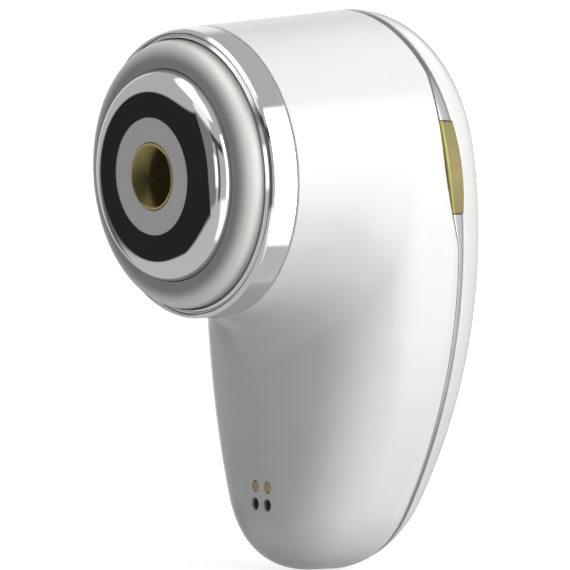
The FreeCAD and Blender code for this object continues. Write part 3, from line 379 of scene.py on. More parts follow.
shank = screw.node("GeometryNodeMeshCylinder", sockets={
    "Vertices": 20, "Radius": screw.start["Shank Radius"], "Depth": screw.start["Length"]})
shank = screw.moved(shank, Translation=screw.spot(Z=screw.sum(0.0, screw.start["Length"], -0.5)))
whole = screw.node("GeometryNodeJoinGeometry", sockets={0: [head, shank]})
whole = screw.moved(whole, Rotation=screw.spot(X=screw.start["Turn"]))
screw.finish(screw.start["Geometry"], whole, zinc)

MERGE = 1e-7


def separate_boxes(name):
    """Boxes (mm) of a node's separate solids, found from its loose triangles."""
    shape = bmesh.new()
    shape.from_mesh(nodes[name].data)
    bmesh.ops.remove_doubles(shape, verts=shape.verts, dist=MERGE)
    left, boxes = set(shape.verts), []
    while left:
        stack, island = [left.pop()], []
        while stack:
            vert = stack.pop()
            island.append(vert.co / MM)
            near = {edge.other_vert(vert) for edge in vert.link_edges} & left
            left -= near
            stack += near
        boxes.append([Vector(limit(place[axis] for place in island) for axis in range(3))
                      for limit in (min, max)])
    shape.free()
    return sorted(boxes, key=lambda box: tuple(box[0]))


FORWARD, BACKWARD = math.pi / 2, -math.pi / 2
for group, body, head_height, shank_radius, facing in (
    ("frame_screws", "body", 1.3, 0.9, FORWARD),
    ("clamp_screws", "floating_head", 1.0, 0.75, BACKWARD),
    ("chassis_screws", "body", 1.3, 0.9, BACKWARD),
    ("board_screws", "body", 1.0, 0.75, BACKWARD),
):
    boxes = separate_boxes(group)
    extent = boxes[0][1] - boxes[0][0]
    seats = []
    for lo, hi in boxes:
        seat = lo.y + head_height if facing == FORWARD else hi.y - head_height
        seats.append(((lo.x + hi.x) / 2, seat, (lo.z + hi.z) / 2))
    piece = screw.build(f"{group}_cross", seats, **{
        "Head Radius": extent.x / 2 * MM, "Head Height": head_height * MM,
        "Shank Radius": shank_radius * MM, "Length": (extent.y - head_height) * MM,
        "Recess": CROSS_WIDTH * MM, "Turn": facing})
    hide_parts(group)
    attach(piece, body)


# Leads: stranded wire in coloured insulation, soldered to boards, cell, motor and electrodes.


def insulation(name, colour):
    return moulded(name, colour, 0.34, 0.8)


dress(insulation("red_insulation", (0.42, 0.030, 0.022)), "battery_leads")
dress(insulation("yellow_insulation", (0.62, 0.42, 0.03)), "contact_leads")
LEAD_RADIUS, LEAD_BEND, LEAD_STEP = 0.5, 1.5, 0.5
lead = Maker("bent_lead", "Radius", "Bend")
run = lead.node("GeometryNodeMeshToCurve", sockets={"Mesh": lead.start["Geometry"]})
run = lead.node("GeometryNodeFilletCurve", {"mode": "POLY"},
                {"Curve": run, "Radius": lead.start["Bend"], "Count": 8})
run = lead.node("GeometryNodeResampleCurve", {"mode": "LENGTH"}, {"Curve": run, "Length": LEAD_STEP * MM})
lead_section = lead.node("GeometryNodeCurvePrimitiveCircle",
                         sockets={"Resolution": 16, "Radius": lead.start["Radius"]})
tube = lead.node("GeometryNodeCurveToMesh",
                 sockets={"Curve": run, "Profile Curve": lead_section, "Fill Caps": True})
lead.tree.links.new(tube, lead.end.inputs[0])
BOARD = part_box("main_board")[0].y / MM
electrode_routes = [[(0.0, 10.7, 0.0), (0.0, 21.5, 0.0), (6.0, 35.7, 10.5), (6.0, BOARD, 10.5)],
                    [(12.6, 0.95, 7.4), (12.6, 21.5, 7.4), (7.5, 35.7, 10.5), (7.5, BOARD, 10.5)]]
motor_routes = [[(-9.5, 12.2, z), (-11.2, 12.2, z), (-11.2, BOARD, z)] for z in (-9.7, -11.3)]
white_insulation = insulation("white_insulation", (0.62, 0.62, 0.60))
blue_insulation = insulation("blue_insulation", (0.030, 0.075, 0.34))
for group, routes, slack, material in (
    ("electrode_leads", electrode_routes, (11.5, 21.0), white_insulation),
    ("motor_leads", motor_routes, (14.2, 24.0), blue_insulation),
):
    points = [point for route in routes for point in route]
    edges = [(i, i + 1) for i in range(len(points) - 1) if (i + 1) % len(routes[0])]
    piece = lead.build(f"{group}_bent", points, edges, Radius=LEAD_RADIUS * MM, Bend=LEAD_BEND * MM)
    piece.data.materials.append(material)
    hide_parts(group)
    slack[0] * MM
    slack[1] * MM
    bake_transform(piece)


# Outer electrode: a spun brass dome, polished and chromed. It snaps over the carrier and slides
# inside the soft ring.

ARC_STEP, LONG_RUN, SUPPORTS = 5, 0.5, (0.03, 0.97)


def outline(*corners):
    """A closed section (radius, depth) in millimetres; a third value rounds that corner. Long runs get
    a support near each end, which keeps their shading flat."""
    points = []
    count = len(corners)
    for i, corner in enumerate(corners):
        here = Vector(corner[:2])
        radius = corner[2] if len(corner) == 3 else 0.0
        if not radius:
            points.append(tuple(here))
            continue
        back = (Vector(corners[i - 1][:2]) - here).normalized()
        ahead = (Vector(corners[(i + 1) % count][:2]) - here).normalized()
        half = back.angle(ahead) / 2
        centre = here + (back + ahead).normalized() * (radius / math.sin(half))
        first = here + back * (radius / math.tan(half)) - centre
        last = here + ahead * (radius / math.tan(half)) - centre
        sweep = math.pi - 2 * half
        steps = max(4, int(math.degrees(sweep) / ARC_STEP))
        for k in range(steps + 1):
            share = k / steps
            arm = (first * math.sin((1 - share) * sweep) + last * math.sin(share * sweep)) / math.sin(sweep)
            points.append(tuple(centre + arm))
    held = []
    for i, point in enumerate(points):
        ahead = Vector(points[(i + 1) % len(points)]) - Vector(point)
        held.append(point)
        if ahead.length > LONG_RUN:
            held += [tuple(Vector(point) + ahead * share) for share in SUPPORTS]
    return held


def new_piece(name, vertices, faces, sharp=34):
    """An object at the origin from millimetre vertices, its faces turned outwards."""
    shape = bmesh.new()
    made = [shape.verts.new([c * MM for c in vertex]) for vertex in vertices]
    for face in faces:
        shape.faces.new([made[i] for i in face])
    bmesh.ops.remove_doubles(shape, verts=shape.verts, dist=MERGE)
    bmesh.ops.recalc_face_normals(shape, faces=shape.faces)
    mesh = bpy.data.meshes.new(name)
    shape.to_mesh(mesh)
    shape.free()
    mesh.shade_smooth()
    mesh.set_sharp_from_angle(angle=math.radians(sharp))
    thing = bpy.data.objects.new(name, mesh)
    bpy.context.scene.collection.objects.link(thing)
    return thing


def quads(pairs, across, ring=True):
    """Faces between pairs of rows of points; a ring joins each row's end to its start."""
    faces = []
    for i, j in pairs:
        for k in range(across if ring else across - 1):
            m = (k + 1) % across
            faces.append((i * across + k, i * across + m, j * across + m, j * across + k))
    return faces


def lathe(name, section, around=320):
    """A ring or disc turned about the head's axis from a closed section."""
    vertices = []
    for radius, depth in section:
        for k in range(around):
            angle = math.tau * k / around
            vertices.append((radius * math.sin(angle), depth, radius * math.cos(angle)))
    pairs = [(i, (i + 1) % len(section)) for i in range(len(section))]
    pairs = [(i, j) for i, j in pairs if section[i][0] or section[j][0]]
    return new_piece(name, vertices, quads(pairs, around))


def settle(thing, material, slot, body, *replaced):
    """Gives a finished piece its material, its body and the solid it stands for. The slot is not used."""
    thing.data.materials.clear()
    thing.data.materials.append(material)
    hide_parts(*replaced)
    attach(thing, body)


def chrome(name, colour, roughness):
    """Bright plating with faint wiping marks."""
    finish = Finish(name)
    wiped = finish.noise(3.0, 5.0, (1.0, 1.0, 0.3))
    cloud = finish.noise(9.0)
    return finish.surface(
        Base_Color=finish.colours(cloud.step(0.35, 0.65), shade(colour, 0.985), colour),
        Metallic=1.0,
        Roughness=roughness + (wiped - 0.5) * 0.02 + (cloud - 0.5) * 0.015,
    )


CHROME = 0.90, 0.90, 0.91
dome = lathe("electrode_dome", outline(
    (10.60, 0.35), (19.0, 0.35, 4.0), (19.0, 6.4, 0.12),
    (17.8, 6.4, 0.12), (17.8, 1.55, 2.8), (10.60, 1.55)))
settle(dome, chrome("dome_chrome", CHROME, 0.05), "chrome_plate", "floating_head", "outer_electrode")


# Insulator ring: grey acetal that keeps the two electrodes apart, turned with a fine concentric
# finish. Its flange is trapped behind the dome's edge, and the gold electrode's stem passes its bore.

acetal = Finish("grey_acetal")
grooves = (acetal.from_axis() * 42.0).math("SINE")
speckle = acetal.noise(0.5)
insulator = lathe("insulator_turned", outline(
    (1.65, 2.25), (6.15, 2.25), (6.15, 0.42, 0.08), (10.55, 0.42, 0.05), (10.55, 1.6), (12.4, 1.6),
    (12.4, 4.4), (1.65, 4.4)))
settle(insulator, acetal.surface(
    Base_Color=acetal.colours(speckle.step(*BLOTCH), (0.70, 0.695, 0.70), (0.77, 0.765, 0.77)),
    Roughness=0.36 + (speckle - 0.5) * 0.08,
    Normal=acetal.relief(grooves * 0.5 + speckle * 0.5, 0.004),
), "grey_insulator", "floating_head", "insulator_ring")


# Centre electrode: a gold-plated button with a slightly crowned face and a rounded edge. Its stem
# passes through the insulator and carrier to the nut.

FLAT_RADIUS, FLAT_CROWN, FLAT_STEPS = 5.75, 0.20, 24
gold = Finish("gold_plate")
ring_marks = (gold.from_axis() * 30.0).math("SINE")
patina = gold.noise(2.5)
shares = [i / FLAT_STEPS for i in range(FLAT_STEPS + 1)]
crowned = [(FLAT_RADIUS * share, FLAT_CROWN * share**2) for share in shares]
gold_button = lathe("gold_button", crowned + outline(
    (5.83, 0.22), (6.0, 0.36, 0.12), (6.0, 2.2), (1.5, 2.2), (1.5, 10.7, 0.2), (0.0, 10.7)))
settle(gold_button, gold.surface(
    Base_Color=gold.colours(patina.step(*BLOTCH), (0.56, 0.46, 0.16), (0.64, 0.53, 0.21)),
    Metallic=1.0,
    Roughness=0.085 + (patina - 0.5) * 0.03,
    Normal=gold.relief(ring_marks, 0.0015),
), "gold_plate", "floating_head", "centre_electrode")


# Soft ring: a hollow silicone cushion with a satin skin, clamped by its bead under the bezel's lip. Its
# colour carries painted shade: the skin is greyer near the dome, and darker where it runs in under the
# bezel's lip, as a painted shadow of the gap.

silicone = Finish("satin_silicone")
skin_mottle = silicone.noise(0.35, 2.0)
skin_cloud = silicone.noise(8.0)
_, ring_depth, _ = silicone.axes()
# Painted shade: pale away from the dome, greyer towards it and darker towards the bezel's lip.
clear_of_dome_shade = silicone.from_axis().step(20.4, 23.2)
clear_of_painted_shade = clear_of_dome_shade * (1.0 - ring_depth.step(5.3, 6.8))
soft = lathe("soft_cushion", outline(
    (19.05, 3.9, 0.4), (24.1, 3.9, 3.1), (24.1, 8.7, 0.2), (24.75, 8.7, 0.15), (24.75, 9.5, 0.15),
    (22.8, 9.5, 0.2), (22.8, 5.4, 0.5), (20.6, 5.4, 0.4), (20.6, 6.3, 0.15), (19.05, 6.3, 0.15)))
settle(soft, silicone.surface(
    Base_Color=silicone.colours(clear_of_painted_shade * 0.96 + skin_cloud * 0.04,
                                (0.47, 0.47, 0.455), (0.97, 0.97, 0.93)),
    Metallic=0.3,
    Roughness=0.44 + (skin_mottle - 0.5) * 0.08,
    Normal=silicone.relief(skin_mottle, 0.008),
), "silicone", "body", "soft_ring")
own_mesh(soft)


# Head bezel: a chromed ring pressed over the shell's collar. Its front has a bevelled inner lip, a
# narrow groove and a bevelled outer rim.

bezel = lathe("bezel_ring", outline(
    (24.3, 7.55, 0.06), (24.42, 7.42, 0.05), (24.90, 7.944, 0.04), (25.05, 8.2), (25.2, 8.2),
    (25.34, 7.72, 0.04), (25.42, 7.7, 0.04), (25.70, 8.07, 0.08), (25.93, 8.50, 0.30),
    (26.16, 13.3, 0.12), (24.9, 13.3), (24.9, 8.6), (24.3, 8.6, 0.1)), 400)
settle(bezel, chrome("bezel_chrome", CHROME, 0.045), "chrome_bezel", "body", "head_bezel")


# Front shell: one glossy white moulding from the barrel's mouth to the seam. Its skin follows one rule,
# a drafted barrel blended into an egg-shaped grip, which is sampled along rays from an inner point.

HEAD, DRAFT = 26.0, 0.027
BEZEL_FRONT, MOUTH, GRIP_FACE, SEAM_DEPTH = 7.4, 13.4, 24.8, 49.6
GRIP_HALF, GRIP_SIDE, GRIP_END = 27.8, 124.0, 18.5
FACE_ROUND, FACE_EASE, FACE_CROWN = 10.6, 2.5, 75.0
NECK_BLEND, NECK_FADE, NECK_DROP, TOP_BLEND = 10.0, 0.6, 14.0, 8.0
BACK_DEPTH, BACK_DROP, BACK_TALL, BACK_WIDE, BACK_ROUND = 60.4, 12.0, 165.0, 90.0, 10.0
HEART = np.array((0.0, GRIP_FACE + 0.43 * (BACK_DEPTH - GRIP_FACE), -0.77 * HEAD))
TINY = 1e-9


def barrel_radius(y):
    return HEAD + DRAFT * (y - BEZEL_FRONT)


TOP_RADIUS = barrel_radius(SEAM_DEPTH)
SIDE_X = GRIP_HALF - GRIP_SIDE
SIDE_Z = -math.sqrt((GRIP_SIDE - TOP_RADIUS) ** 2 - SIDE_X**2)
LOW_Z = SIDE_Z - math.sqrt((GRIP_SIDE - GRIP_END) ** 2 - SIDE_X**2)


def rounded_meeting(first, second, radius, ease=2.0):
    """Field behind two walls whose shared edge is rounded, with the first wall's share; more ease fades
    the rounding out into the walls."""
    a, b = first + radius, second + radius
    both = (a > 0) & (b > 0)
    a, b = np.maximum(a, TINY), np.maximum(b, TINY)
    reach = (a**ease + b**ease) ** (1 / ease)
    share = np.where(both, (a / reach) ** (ease - 1), first > second)
    return np.where(both, reach - radius, np.maximum(first, second)), share


def egg(x, z):
    """Distance outside the grip's outline and the outward direction there."""
    across, rise = np.abs(x) - SIDE_X, z - SIDE_Z
    upper = across * SIDE_Z - rise * SIDE_X > 0
    lower = ~upper & (across * (LOW_Z - SIDE_Z) + rise * SIDE_X > 0)
    centre_x = np.where(upper | lower, 0.0, SIDE_X)
    centre_z = np.where(upper, 0.0, np.where(lower, LOW_Z, SIDE_Z))
    radius = np.where(upper, TOP_RADIUS, np.where(lower, GRIP_END, GRIP_SIDE))
    out_x, out_z = np.abs(x) - centre_x, z - centre_z
    reach = np.hypot(out_x, out_z)
    return reach - radius, np.copysign(out_x / reach, x), out_z / reach


def skin_field(x, y, z):
    """Negative inside the hand form. The blend of barrel and grip narrows where they face alike, and is
    fuller below the barrel than beside and above it."""
    spread = np.hypot(x, z)
    barrel = spread - barrel_radius(y)
    side, out_x, out_z = egg(x, z)
    side = side + DRAFT * (SEAM_DEPTH - y)
    face = GRIP_FACE + x * x / (2 * FACE_CROWN) - y
    grip, share = rounded_meeting(side, face, FACE_ROUND, FACE_EASE)
    alike = share * (x * out_x + z * out_z) / np.maximum(spread, TINY)
    apart = np.maximum(1 - alike, 0.0)
    below = np.clip(-z / NECK_DROP, 0.0, 1.0)
    below = below * below * (3 - 2 * below)
    width = TOP_BLEND * apart * (1 - below) + NECK_BLEND * apart**NECK_FADE * below
    width = np.maximum(width, TINY)
    body = np.minimum(barrel, grip) - np.maximum(width - np.abs(barrel - grip), 0.0) ** 2 / (4 * width)
    dome = y - BACK_DEPTH + (z + BACK_DROP) ** 2 / (2 * BACK_TALL) + x * x / (2 * BACK_WIDE)
    return rounded_meeting(body, dome, BACK_ROUND)[0]


def last_inside(near, far, inside, halvings=44):
    """The values up to which inside(value) holds, found by halving."""
    for _ in range(halvings):
        middle = (near + far) / 2
        within = inside(middle)
        near, far = np.where(within, middle, near), np.where(within, far, middle)
    return near


RAY_LENGTH = 150.0


def skin(turn, tilt):
    """Skin points along rays that turn about the depth axis and tilt back from the mouth."""
    ray = np.stack([np.sin(tilt) * np.sin(turn), -np.cos(tilt), np.sin(tilt) * np.cos(turn)], axis=-1)

    def inside(reach):
        return skin_field(*np.moveaxis(HEART + ray * reach[..., None], -1, 0)) < 0

    rays = ray.shape[:-1]
    return HEART + ray * last_inside(np.zeros(rays), np.full(rays, RAY_LENGTH), inside)[..., None]


def outward(place, probe=0.02):
    """Unit normals of the skin."""
    slopes = []
    for axis in range(3):
        step = np.zeros(3)
        step[axis] = probe
        ahead, behind = place + step, place - step
        slopes.append(skin_field(*np.moveaxis(ahead, -1, 0)) - skin_field(*np.moveaxis(behind, -1, 0)))
    normal = np.stack(slopes, axis=-1)
    return normal / np.linalg.norm(normal, axis=-1, keepdims=True)


SEAM_DROP, SEAM_RADIUS = 17.0, 280.0
LENS_LOW, LENS_HIGH, LENS_BULGE = -13.5, 17.5, 2.1


def seam_line(ahead, z):
    """Depth of the seam's arc, or of a line a little ahead of it."""
    return SEAM_DEPTH - SEAM_RADIUS + np.sqrt((SEAM_RADIUS - ahead) ** 2 - (z + SEAM_DROP) ** 2)


def lens_line(ahead, z):
    """Front edge of the widened trim: an arc through the seam at both ends, pushed forward midway."""
    low, high = seam_line(ahead, LENS_LOW), seam_line(ahead, LENS_HIGH)
    half = (LENS_HIGH - LENS_LOW) / 2
    centre = (LENS_LOW + LENS_HIGH) / 2
    bow = seam_line(ahead, centre) - LENS_BULGE
    chord = (low + high) / 2
    share = (z - centre) / half
    return chord + (high - low) / 2 * share + (bow - chord) * (1 - share**2)


def seam_depth(ahead, x, z, widened):
    plain = seam_line(ahead, z)
    if not widened:
        return plain
    inside = (x > 0) & (z > LENS_LOW) & (z < LENS_HIGH)
    return np.where(inside, np.minimum(lens_line(ahead, np.clip(z, LENS_LOW, LENS_HIGH)), plain), plain)


def mouth_tilt(turn, depth=MOUTH):
    """Tilt at which each ray leaves the barrel at a depth."""
    slope = HEART[2] * np.cos(turn)
    reach = np.sqrt(slope**2 + barrel_radius(depth) ** 2 - HEART[2] ** 2) - slope
    return np.arctan2(reach, HEART[1] - depth)


LAST_TILT = math.pi - 0.05


def seam_tilt(turn, ahead, widened):
    """Tilt at which each ray's skin point meets a seam."""

    def before(tilt):
        place = skin(turn, tilt)
        return place[..., 1] < seam_depth(ahead, place[..., 0], place[..., 2], widened)

    return last_inside(mouth_tilt(turn), np.full(turn.shape, LAST_TILT), before, 36)


def sheet(name, rows, sharp=40, pole=False):
    """A closed band of skin from rows of points, each row a ring; pole closes the last row."""
    around = len(rows[0])
    vertices = [tuple(point) for row in rows for point in row]
    faces = quads([(i, i + 1) for i in range(len(rows) - 1)], around)
    if pole:
        vertices.append(tuple(rows[-1].mean(axis=0)))
        last = (len(rows) - 1) * around
        for k in range(around):
            faces.append((last + k, last + (k + 1) % around, len(vertices) - 1))
    return new_piece(name, vertices, faces, sharp)


QUARTER_ROUND = np.radians([22.5, 45.0, 67.5, 90.0])
NUDGE = 1e-3


def turned_in(edge, along, normal, radius, depth):
    """Rows that round an edge over and carry it straight inwards."""
    rows = []
    for angle in QUARTER_ROUND:
        rows.append(edge + along * radius * math.sin(angle) - normal * radius * (1 - math.cos(angle)))
    rows.append(rows[-1] - normal * depth)
    return rows


def rim(turn, tilt, back, radius, depth):
    """The rounded rim of a shell where its skin ends at a tilt, seen from the front or the back."""
    side = -1.0 if back else 1.0
    pace = np.linalg.norm(skin(turn, tilt) - skin(turn, tilt - NUDGE), axis=-1) / NUDGE
    start = tilt - side * radius / pace
    edge = skin(turn, start)
    along = skin(turn, start + side * NUDGE) - edge
    along /= np.linalg.norm(along, axis=-1, keepdims=True)
    return start, turned_in(edge, along, outward(edge), radius, depth)


AROUND, SHELL_ROWS = 432, 190
TRIM_WIDTH, SEAM_GAP = 1.1, 0.12
RIM_ROUND, RIM_DEPTH = 0.18, 1.7
turn = np.linspace(0.0, math.tau, AROUND, endpoint=False)
shell_seam = seam_tilt(turn, TRIM_WIDTH + SEAM_GAP, True)
shell_end, shell_rim = rim(turn, shell_seam, False, RIM_ROUND, RIM_DEPTH)


def mouth_ring(depth, inset):
    """A ring of the mouth's edge at a depth, drawn in towards the axis."""
    ring = skin(turn, mouth_tilt(turn, depth))
    ring[:, [0, 2]] *= 1 - inset / np.hypot(ring[:, 0], ring[:, 2])[:, None]
    return ring


EDGE, EDGE_ROUND = 13.70, 0.12
COLLAR_INSET, COLLAR_FRONT = 1.32, 9.0
collar = mouth_ring(EDGE, COLLAR_INSET)
collar[:, 1] = COLLAR_FRONT
shell_rows = [collar, mouth_ring(EDGE, COLLAR_INSET), mouth_ring(EDGE, EDGE_ROUND)]
for angle in QUARTER_ROUND[2::-1]:
    shell_rows.append(mouth_ring(EDGE + EDGE_ROUND * (1 - math.sin(angle)), EDGE_ROUND * (1 - math.cos(angle))))
mouth = mouth_tilt(turn, EDGE + EDGE_ROUND)
for share in np.linspace(0.0, 1.0, SHELL_ROWS):
    shell_rows.append(skin(turn, mouth + (shell_end - mouth) * share))
shell = sheet("front_shell", shell_rows + shell_rim)


def white_gloss(name):
    """Polished white moulding: even colour with a barely visible flow, and a trace of mould texture."""
    finish = Finish(name)
    flow = finish.noise(16.0, 2.0, (1.0, 0.5, 1.0))
    fine = finish.noise(1.6, 2.0)
    return finish.surface(
        Base_Color=finish.colours(flow.step(*BLOTCH), (0.83, 0.83, 0.822), (0.86, 0.86, 0.855)),
        Roughness=0.13 + (flow - 0.5) * 0.05,
        IOR=1.5,
        Normal=finish.relief(fine, 0.0012),
    )


white = white_gloss("white_gloss")
CONTACTS = [(x, z) for x in (-1.75, 1.75) for z in (-57.325, -60.475)]
BORE_RADIUS, BORE_LENGTH, BORE_MIDDLE = 1.15, 3.4, 25.4
cutter = bpy.data.meshes.new("contact_bores")
bores = bmesh.new()
for x, z in CONTACTS:
    place = Matrix.Translation((x * MM, BORE_MIDDLE * MM, z * MM)) @ Matrix.Rotation(math.pi / 2, 4, "X")
    bmesh.ops.create_cone(bores, cap_ends=True, segments=40, radius1=BORE_RADIUS * MM,
                          radius2=BORE_RADIUS * MM, depth=BORE_LENGTH * MM, matrix=place)
bores.to_mesh(cutter)
bores.free()
drill = bpy.data.objects.new("contact_bores", cutter)
bpy.context.scene.collection.objects.link(drill)
drilling = shell.modifiers.new("bores", "BOOLEAN")
drilling.operation = "DIFFERENCE"
drilling.solver = "EXACT"
drilling.object = drill
bpy.context.view_layer.update()
shell.data = bpy.data.meshes.new_from_object(shell.evaluated_get(bpy.context.evaluated_depsgraph_get()))
shell.modifiers.remove(drilling)
bpy.data.objects.remove(drill)
settle(shell, white, "white_gloss", "body", "front_housing")


# Rear cover: the domed white back, moulded in the same gloss plastic as the front shell. It is
# pressed and bonded onto the trim's flange, and its rim is rounded like the front shell's.

COVER_ROWS, COVER_PACE, COVER_LAST = 110, 0.85, math.pi - 0.02
cover_start, cover_rim = rim(turn, seam_tilt(turn, -SEAM_GAP, False), True, RIM_ROUND, RIM_DEPTH)
cover_rows = cover_rim[::-1]
for share in np.linspace(0.0, 1.0, COVER_ROWS):
    cover_rows.append(skin(turn, cover_start + (COVER_LAST - cover_start) * share**COVER_PACE))
settle(sheet("rear_dome", cover_rows, pole=True), white, "white_gloss", "body", "rear_cover")


# Trim band: an electroplated strip in the seam, flush with both shells and widened like a lens on
# the button's side. A pocket in the widening takes the button.

BUTTON_LOW, BUTTON_HIGH, BUTTON_DEPTH = -7.5, 9.3, 46.9
POCKET_RADIUS, POCKET_WALL = 24.55, 2e-4
SIDE_REACH = 40.0


def side_skin(y, z):
    """Where the skin lies on the button's side, for given depth and height."""
    return last_inside(np.zeros(y.shape), np.full(y.shape, SIDE_REACH), lambda x: skin_field(x, y, z) < 0)


ends = np.array([BUTTON_HIGH, BUTTON_LOW])
pocket_start, pocket_end = np.arctan2(side_skin(np.full(2, BUTTON_DEPTH), ends), ends - HEART[2])
walls = [end + side for end in (pocket_start, pocket_end) for side in (-POCKET_WALL, POCKET_WALL)]
trim_turn = np.sort(np.concatenate([turn, walls]))
pocketed = (trim_turn > pocket_start) & (trim_turn < pocket_end)
front_edge = seam_tilt(trim_turn, TRIM_WIDTH, True)
rear_edge = seam_tilt(trim_turn, 0.0, False)


def band_row(share, sink):
    """One line along the band, sunk below the skin; in the pocket it drops to the round floor."""
    place = skin(trim_turn, front_edge + (rear_edge - front_edge) * share)
    bottom = place.copy()
    bottom[:, 0] = np.sqrt(np.maximum(POCKET_RADIUS**2 - place[:, 2] ** 2, 0.0))
    return np.where(pocketed[:, None], bottom, place - outward(place) * sink)


FLANGE, FLUSH = 1.6, 0.07
band = [(0.0, FLANGE), (0.0, 0.20), (0.06, 0.10)]
band += [(share, FLUSH) for share in np.linspace(0.12, 0.9, 9)]
band += [(0.96, 0.09), (1.0, 0.18), (1.0, FLANGE)]
trim_plate = Finish("trim_plate")
brushing = trim_plate.noise(0.22, 4.0, (1.0, 1.0, 0.08))
dulling = trim_plate.noise(6.0).step(*BLOTCH)
settle(sheet("seam_trim", [band_row(*line) for line in band], 50), trim_plate.surface(
    Base_Color=trim_plate.colours(dulling, (0.335, 0.335, 0.337), (0.370, 0.370, 0.372)),
    Metallic=1.0,
    Roughness=0.24 + (brushing - 0.5) * 0.10,
    Normal=trim_plate.relief(brushing, 0.002),
), "chrome_trim", "body", "trim_band")


# Power button: a die-cast rocker cap in champagne gold that stands a little out of the trim, with a
# polished bevel along its front edge, painted brighter as a highlight, and a stem that reaches the switch.

CROWN_X, CROWN_Z, CROWN_RADIUS, FOOT_RADIUS = -4.9, -2.85, 33.0, 25.5
CAP_GAP, CAP_ROUND, CAP_FALL, CAP_ROWS = 0.15, 0.12, 0.14, 90
BEVEL_LOW, BEVEL_HIGH, BEVEL_CORNER = 0.20, 0.32, 0.04


def crown_line(z):
    return CROWN_X + np.sqrt(CROWN_RADIUS**2 - (z - CROWN_Z) ** 2)


even = np.linspace(BUTTON_LOW + CAP_GAP, BUTTON_HIGH - CAP_GAP, CAP_ROWS)
heights = np.concatenate([
    [even[0]] * 2, even[:1] + CAP_ROUND, even[2:-2], even[-1:] - CAP_ROUND, [even[-1]] * 2])
button_front = lens_line(TRIM_WIDTH - CAP_GAP, heights)
button_back = seam_line(CAP_GAP, heights)
crown = crown_line(heights)
foot = crown - np.sqrt(FOOT_RADIUS**2 - heights**2)
end_drop = np.zeros(heights.shape)
end_drop[[0, -1]], end_drop[[1, -2]] = foot[[0, -1]], CAP_FALL
bevel = np.interp(heights, [BUTTON_LOW, BUTTON_HIGH], [BEVEL_LOW, BEVEL_HIGH])
flat = np.zeros(heights.shape)
profile = [(0.0, flat, foot), (0.0, flat, bevel + BEVEL_CORNER), (0.0, flat + BEVEL_CORNER, bevel),
           (0.0, bevel, flat + BEVEL_CORNER), (0.0, bevel + 0.06, flat)]
profile += [(share, flat, flat) for share in np.linspace(0.4, 0.9, 8)]
profile += [(1.0, flat - CAP_ROUND, flat), (1.0, flat, flat + CAP_FALL), (1.0, flat, foot)]
vertices = []
for share, shift, drop in profile:
    y = button_front + (button_back - button_front) * share + shift
    vertices += list(zip(crown - np.maximum(drop, end_drop), y, heights))
faces = quads([(i, i + 1) for i in range(len(profile) - 1)], len(heights), ring=False)

STEM_ENDS, STEM_RADIUS, STEM_HEIGHT, STEM_SIDES = (22.6, 25.6), 1.2, 0.9, 32
stem_depth = float((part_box("switch_plunger")[0][1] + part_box("switch_plunger")[1][1]) / 2 / MM)
base = len(vertices)
for x in STEM_ENDS:
    for k in range(STEM_SIDES):
        angle = math.tau * k / STEM_SIDES
        y, z = stem_depth + STEM_RADIUS * math.cos(angle), STEM_HEIGHT + STEM_RADIUS * math.sin(angle)
        vertices.append((x, y, z))
faces += [tuple(base + i for i in face) for face in quads([(0, 1)], STEM_SIDES)]
faces.append(tuple(base + k for k in range(STEM_SIDES)))
cap = new_piece("button_cap", vertices, faces, 24)
# The polish mark picks out the front bevel, which is polished and painted bright gold as a highlight.
polish = cap.data.attributes.new("polish", "FLOAT", "POINT")
for vertex, mark in zip(cap.data.vertices, polish.data):
    x, y, z = vertex.co / MM
    fall, ahead = crown_line(z) - x, y - lens_line(TRIM_WIDTH, z)
    mark.value = 1.0 if 0.02 < fall < 0.8 and ahead < 0.8 else 0.0
champagne = Finish("champagne_gold")
hair = champagne.noise(0.18, 4.0, (1.0, 1.0, 0.06))
warm = champagne.noise(5.0)
polish_and_painted_highlight = Value(champagne, champagne.node("ShaderNodeAttribute", {"attribute_name": "polish"}).outputs["Fac"])
satin = champagne.colours(warm.step(*BLOTCH), (0.132, 0.112, 0.050), (0.150, 0.128, 0.060))
settle(cap, champagne.surface(
    Base_Color=champagne.colours(polish_and_painted_highlight, satin, (0.85, 0.77, 0.26)),
    Metallic=0.85 - polish_and_painted_highlight * 0.55,
    Roughness=0.34 + (hair - 0.5) * 0.12 - polish_and_painted_highlight * 0.1,
    Normal=champagne.relief(hair, 0.003),
), "button_gold", "button", "power_button")


# Charging contacts: turned brass pins with a low domed face, recessed in bores of the grip and
# soldered to the contact board by their tails. The lower pair is painted dark as shade.

PIN_FACE, PIN_SIDES, DOME_FLATNESS = 25.2, 40, 0.26
brass = Finish("contact_brass")
_, _, pin_height = brass.axes()
wear = brass.noise(0.6)
# Painted shade: the pins below this height are coloured dark brown, the upper pair pale brass.
unshaded_upper_pins = pin_height.step(-59.6, -58.2)
pin_brass = brass.surface(
    Base_Color=brass.colours(unshaded_upper_pins, (0.040, 0.032, 0.018), (0.70, 0.60, 0.38)),
    Metallic=0.6,
    Roughness=0.5 + (wear - 0.5) * 0.2,
    Normal=brass.relief(wear, 0.006),
)
pin = Maker("charging_pin", "Face Radius", "Face Length", "Bevel", "Flange Radius", "Flange Length",
            "Tail Radius", "Tail Length")
pin_reach = pin.start["Bevel"]
bevelled = pin.node("GeometryNodeMeshCone", sockets={
    "Vertices": PIN_SIDES, "Radius Bottom": pin.sum(pin.start["Face Radius"], pin.start["Bevel"], -1.0),
    "Radius Top": pin.start["Face Radius"], "Depth": pin.start["Bevel"]})
domed = pin.node("GeometryNodeMeshUVSphere", sockets={
    "Segments": PIN_SIDES, "Rings": 20,
    "Radius": pin.sum(pin.start["Face Radius"], pin.start["Bevel"], -0.9)})
domed = pin.moved(domed, Translation=pin.spot(Z=pin.sum(0.0, pin.start["Bevel"], 0.1)),
                  Scale=(1.0, 1.0, DOME_FLATNESS))
lengths = [bevelled, domed]
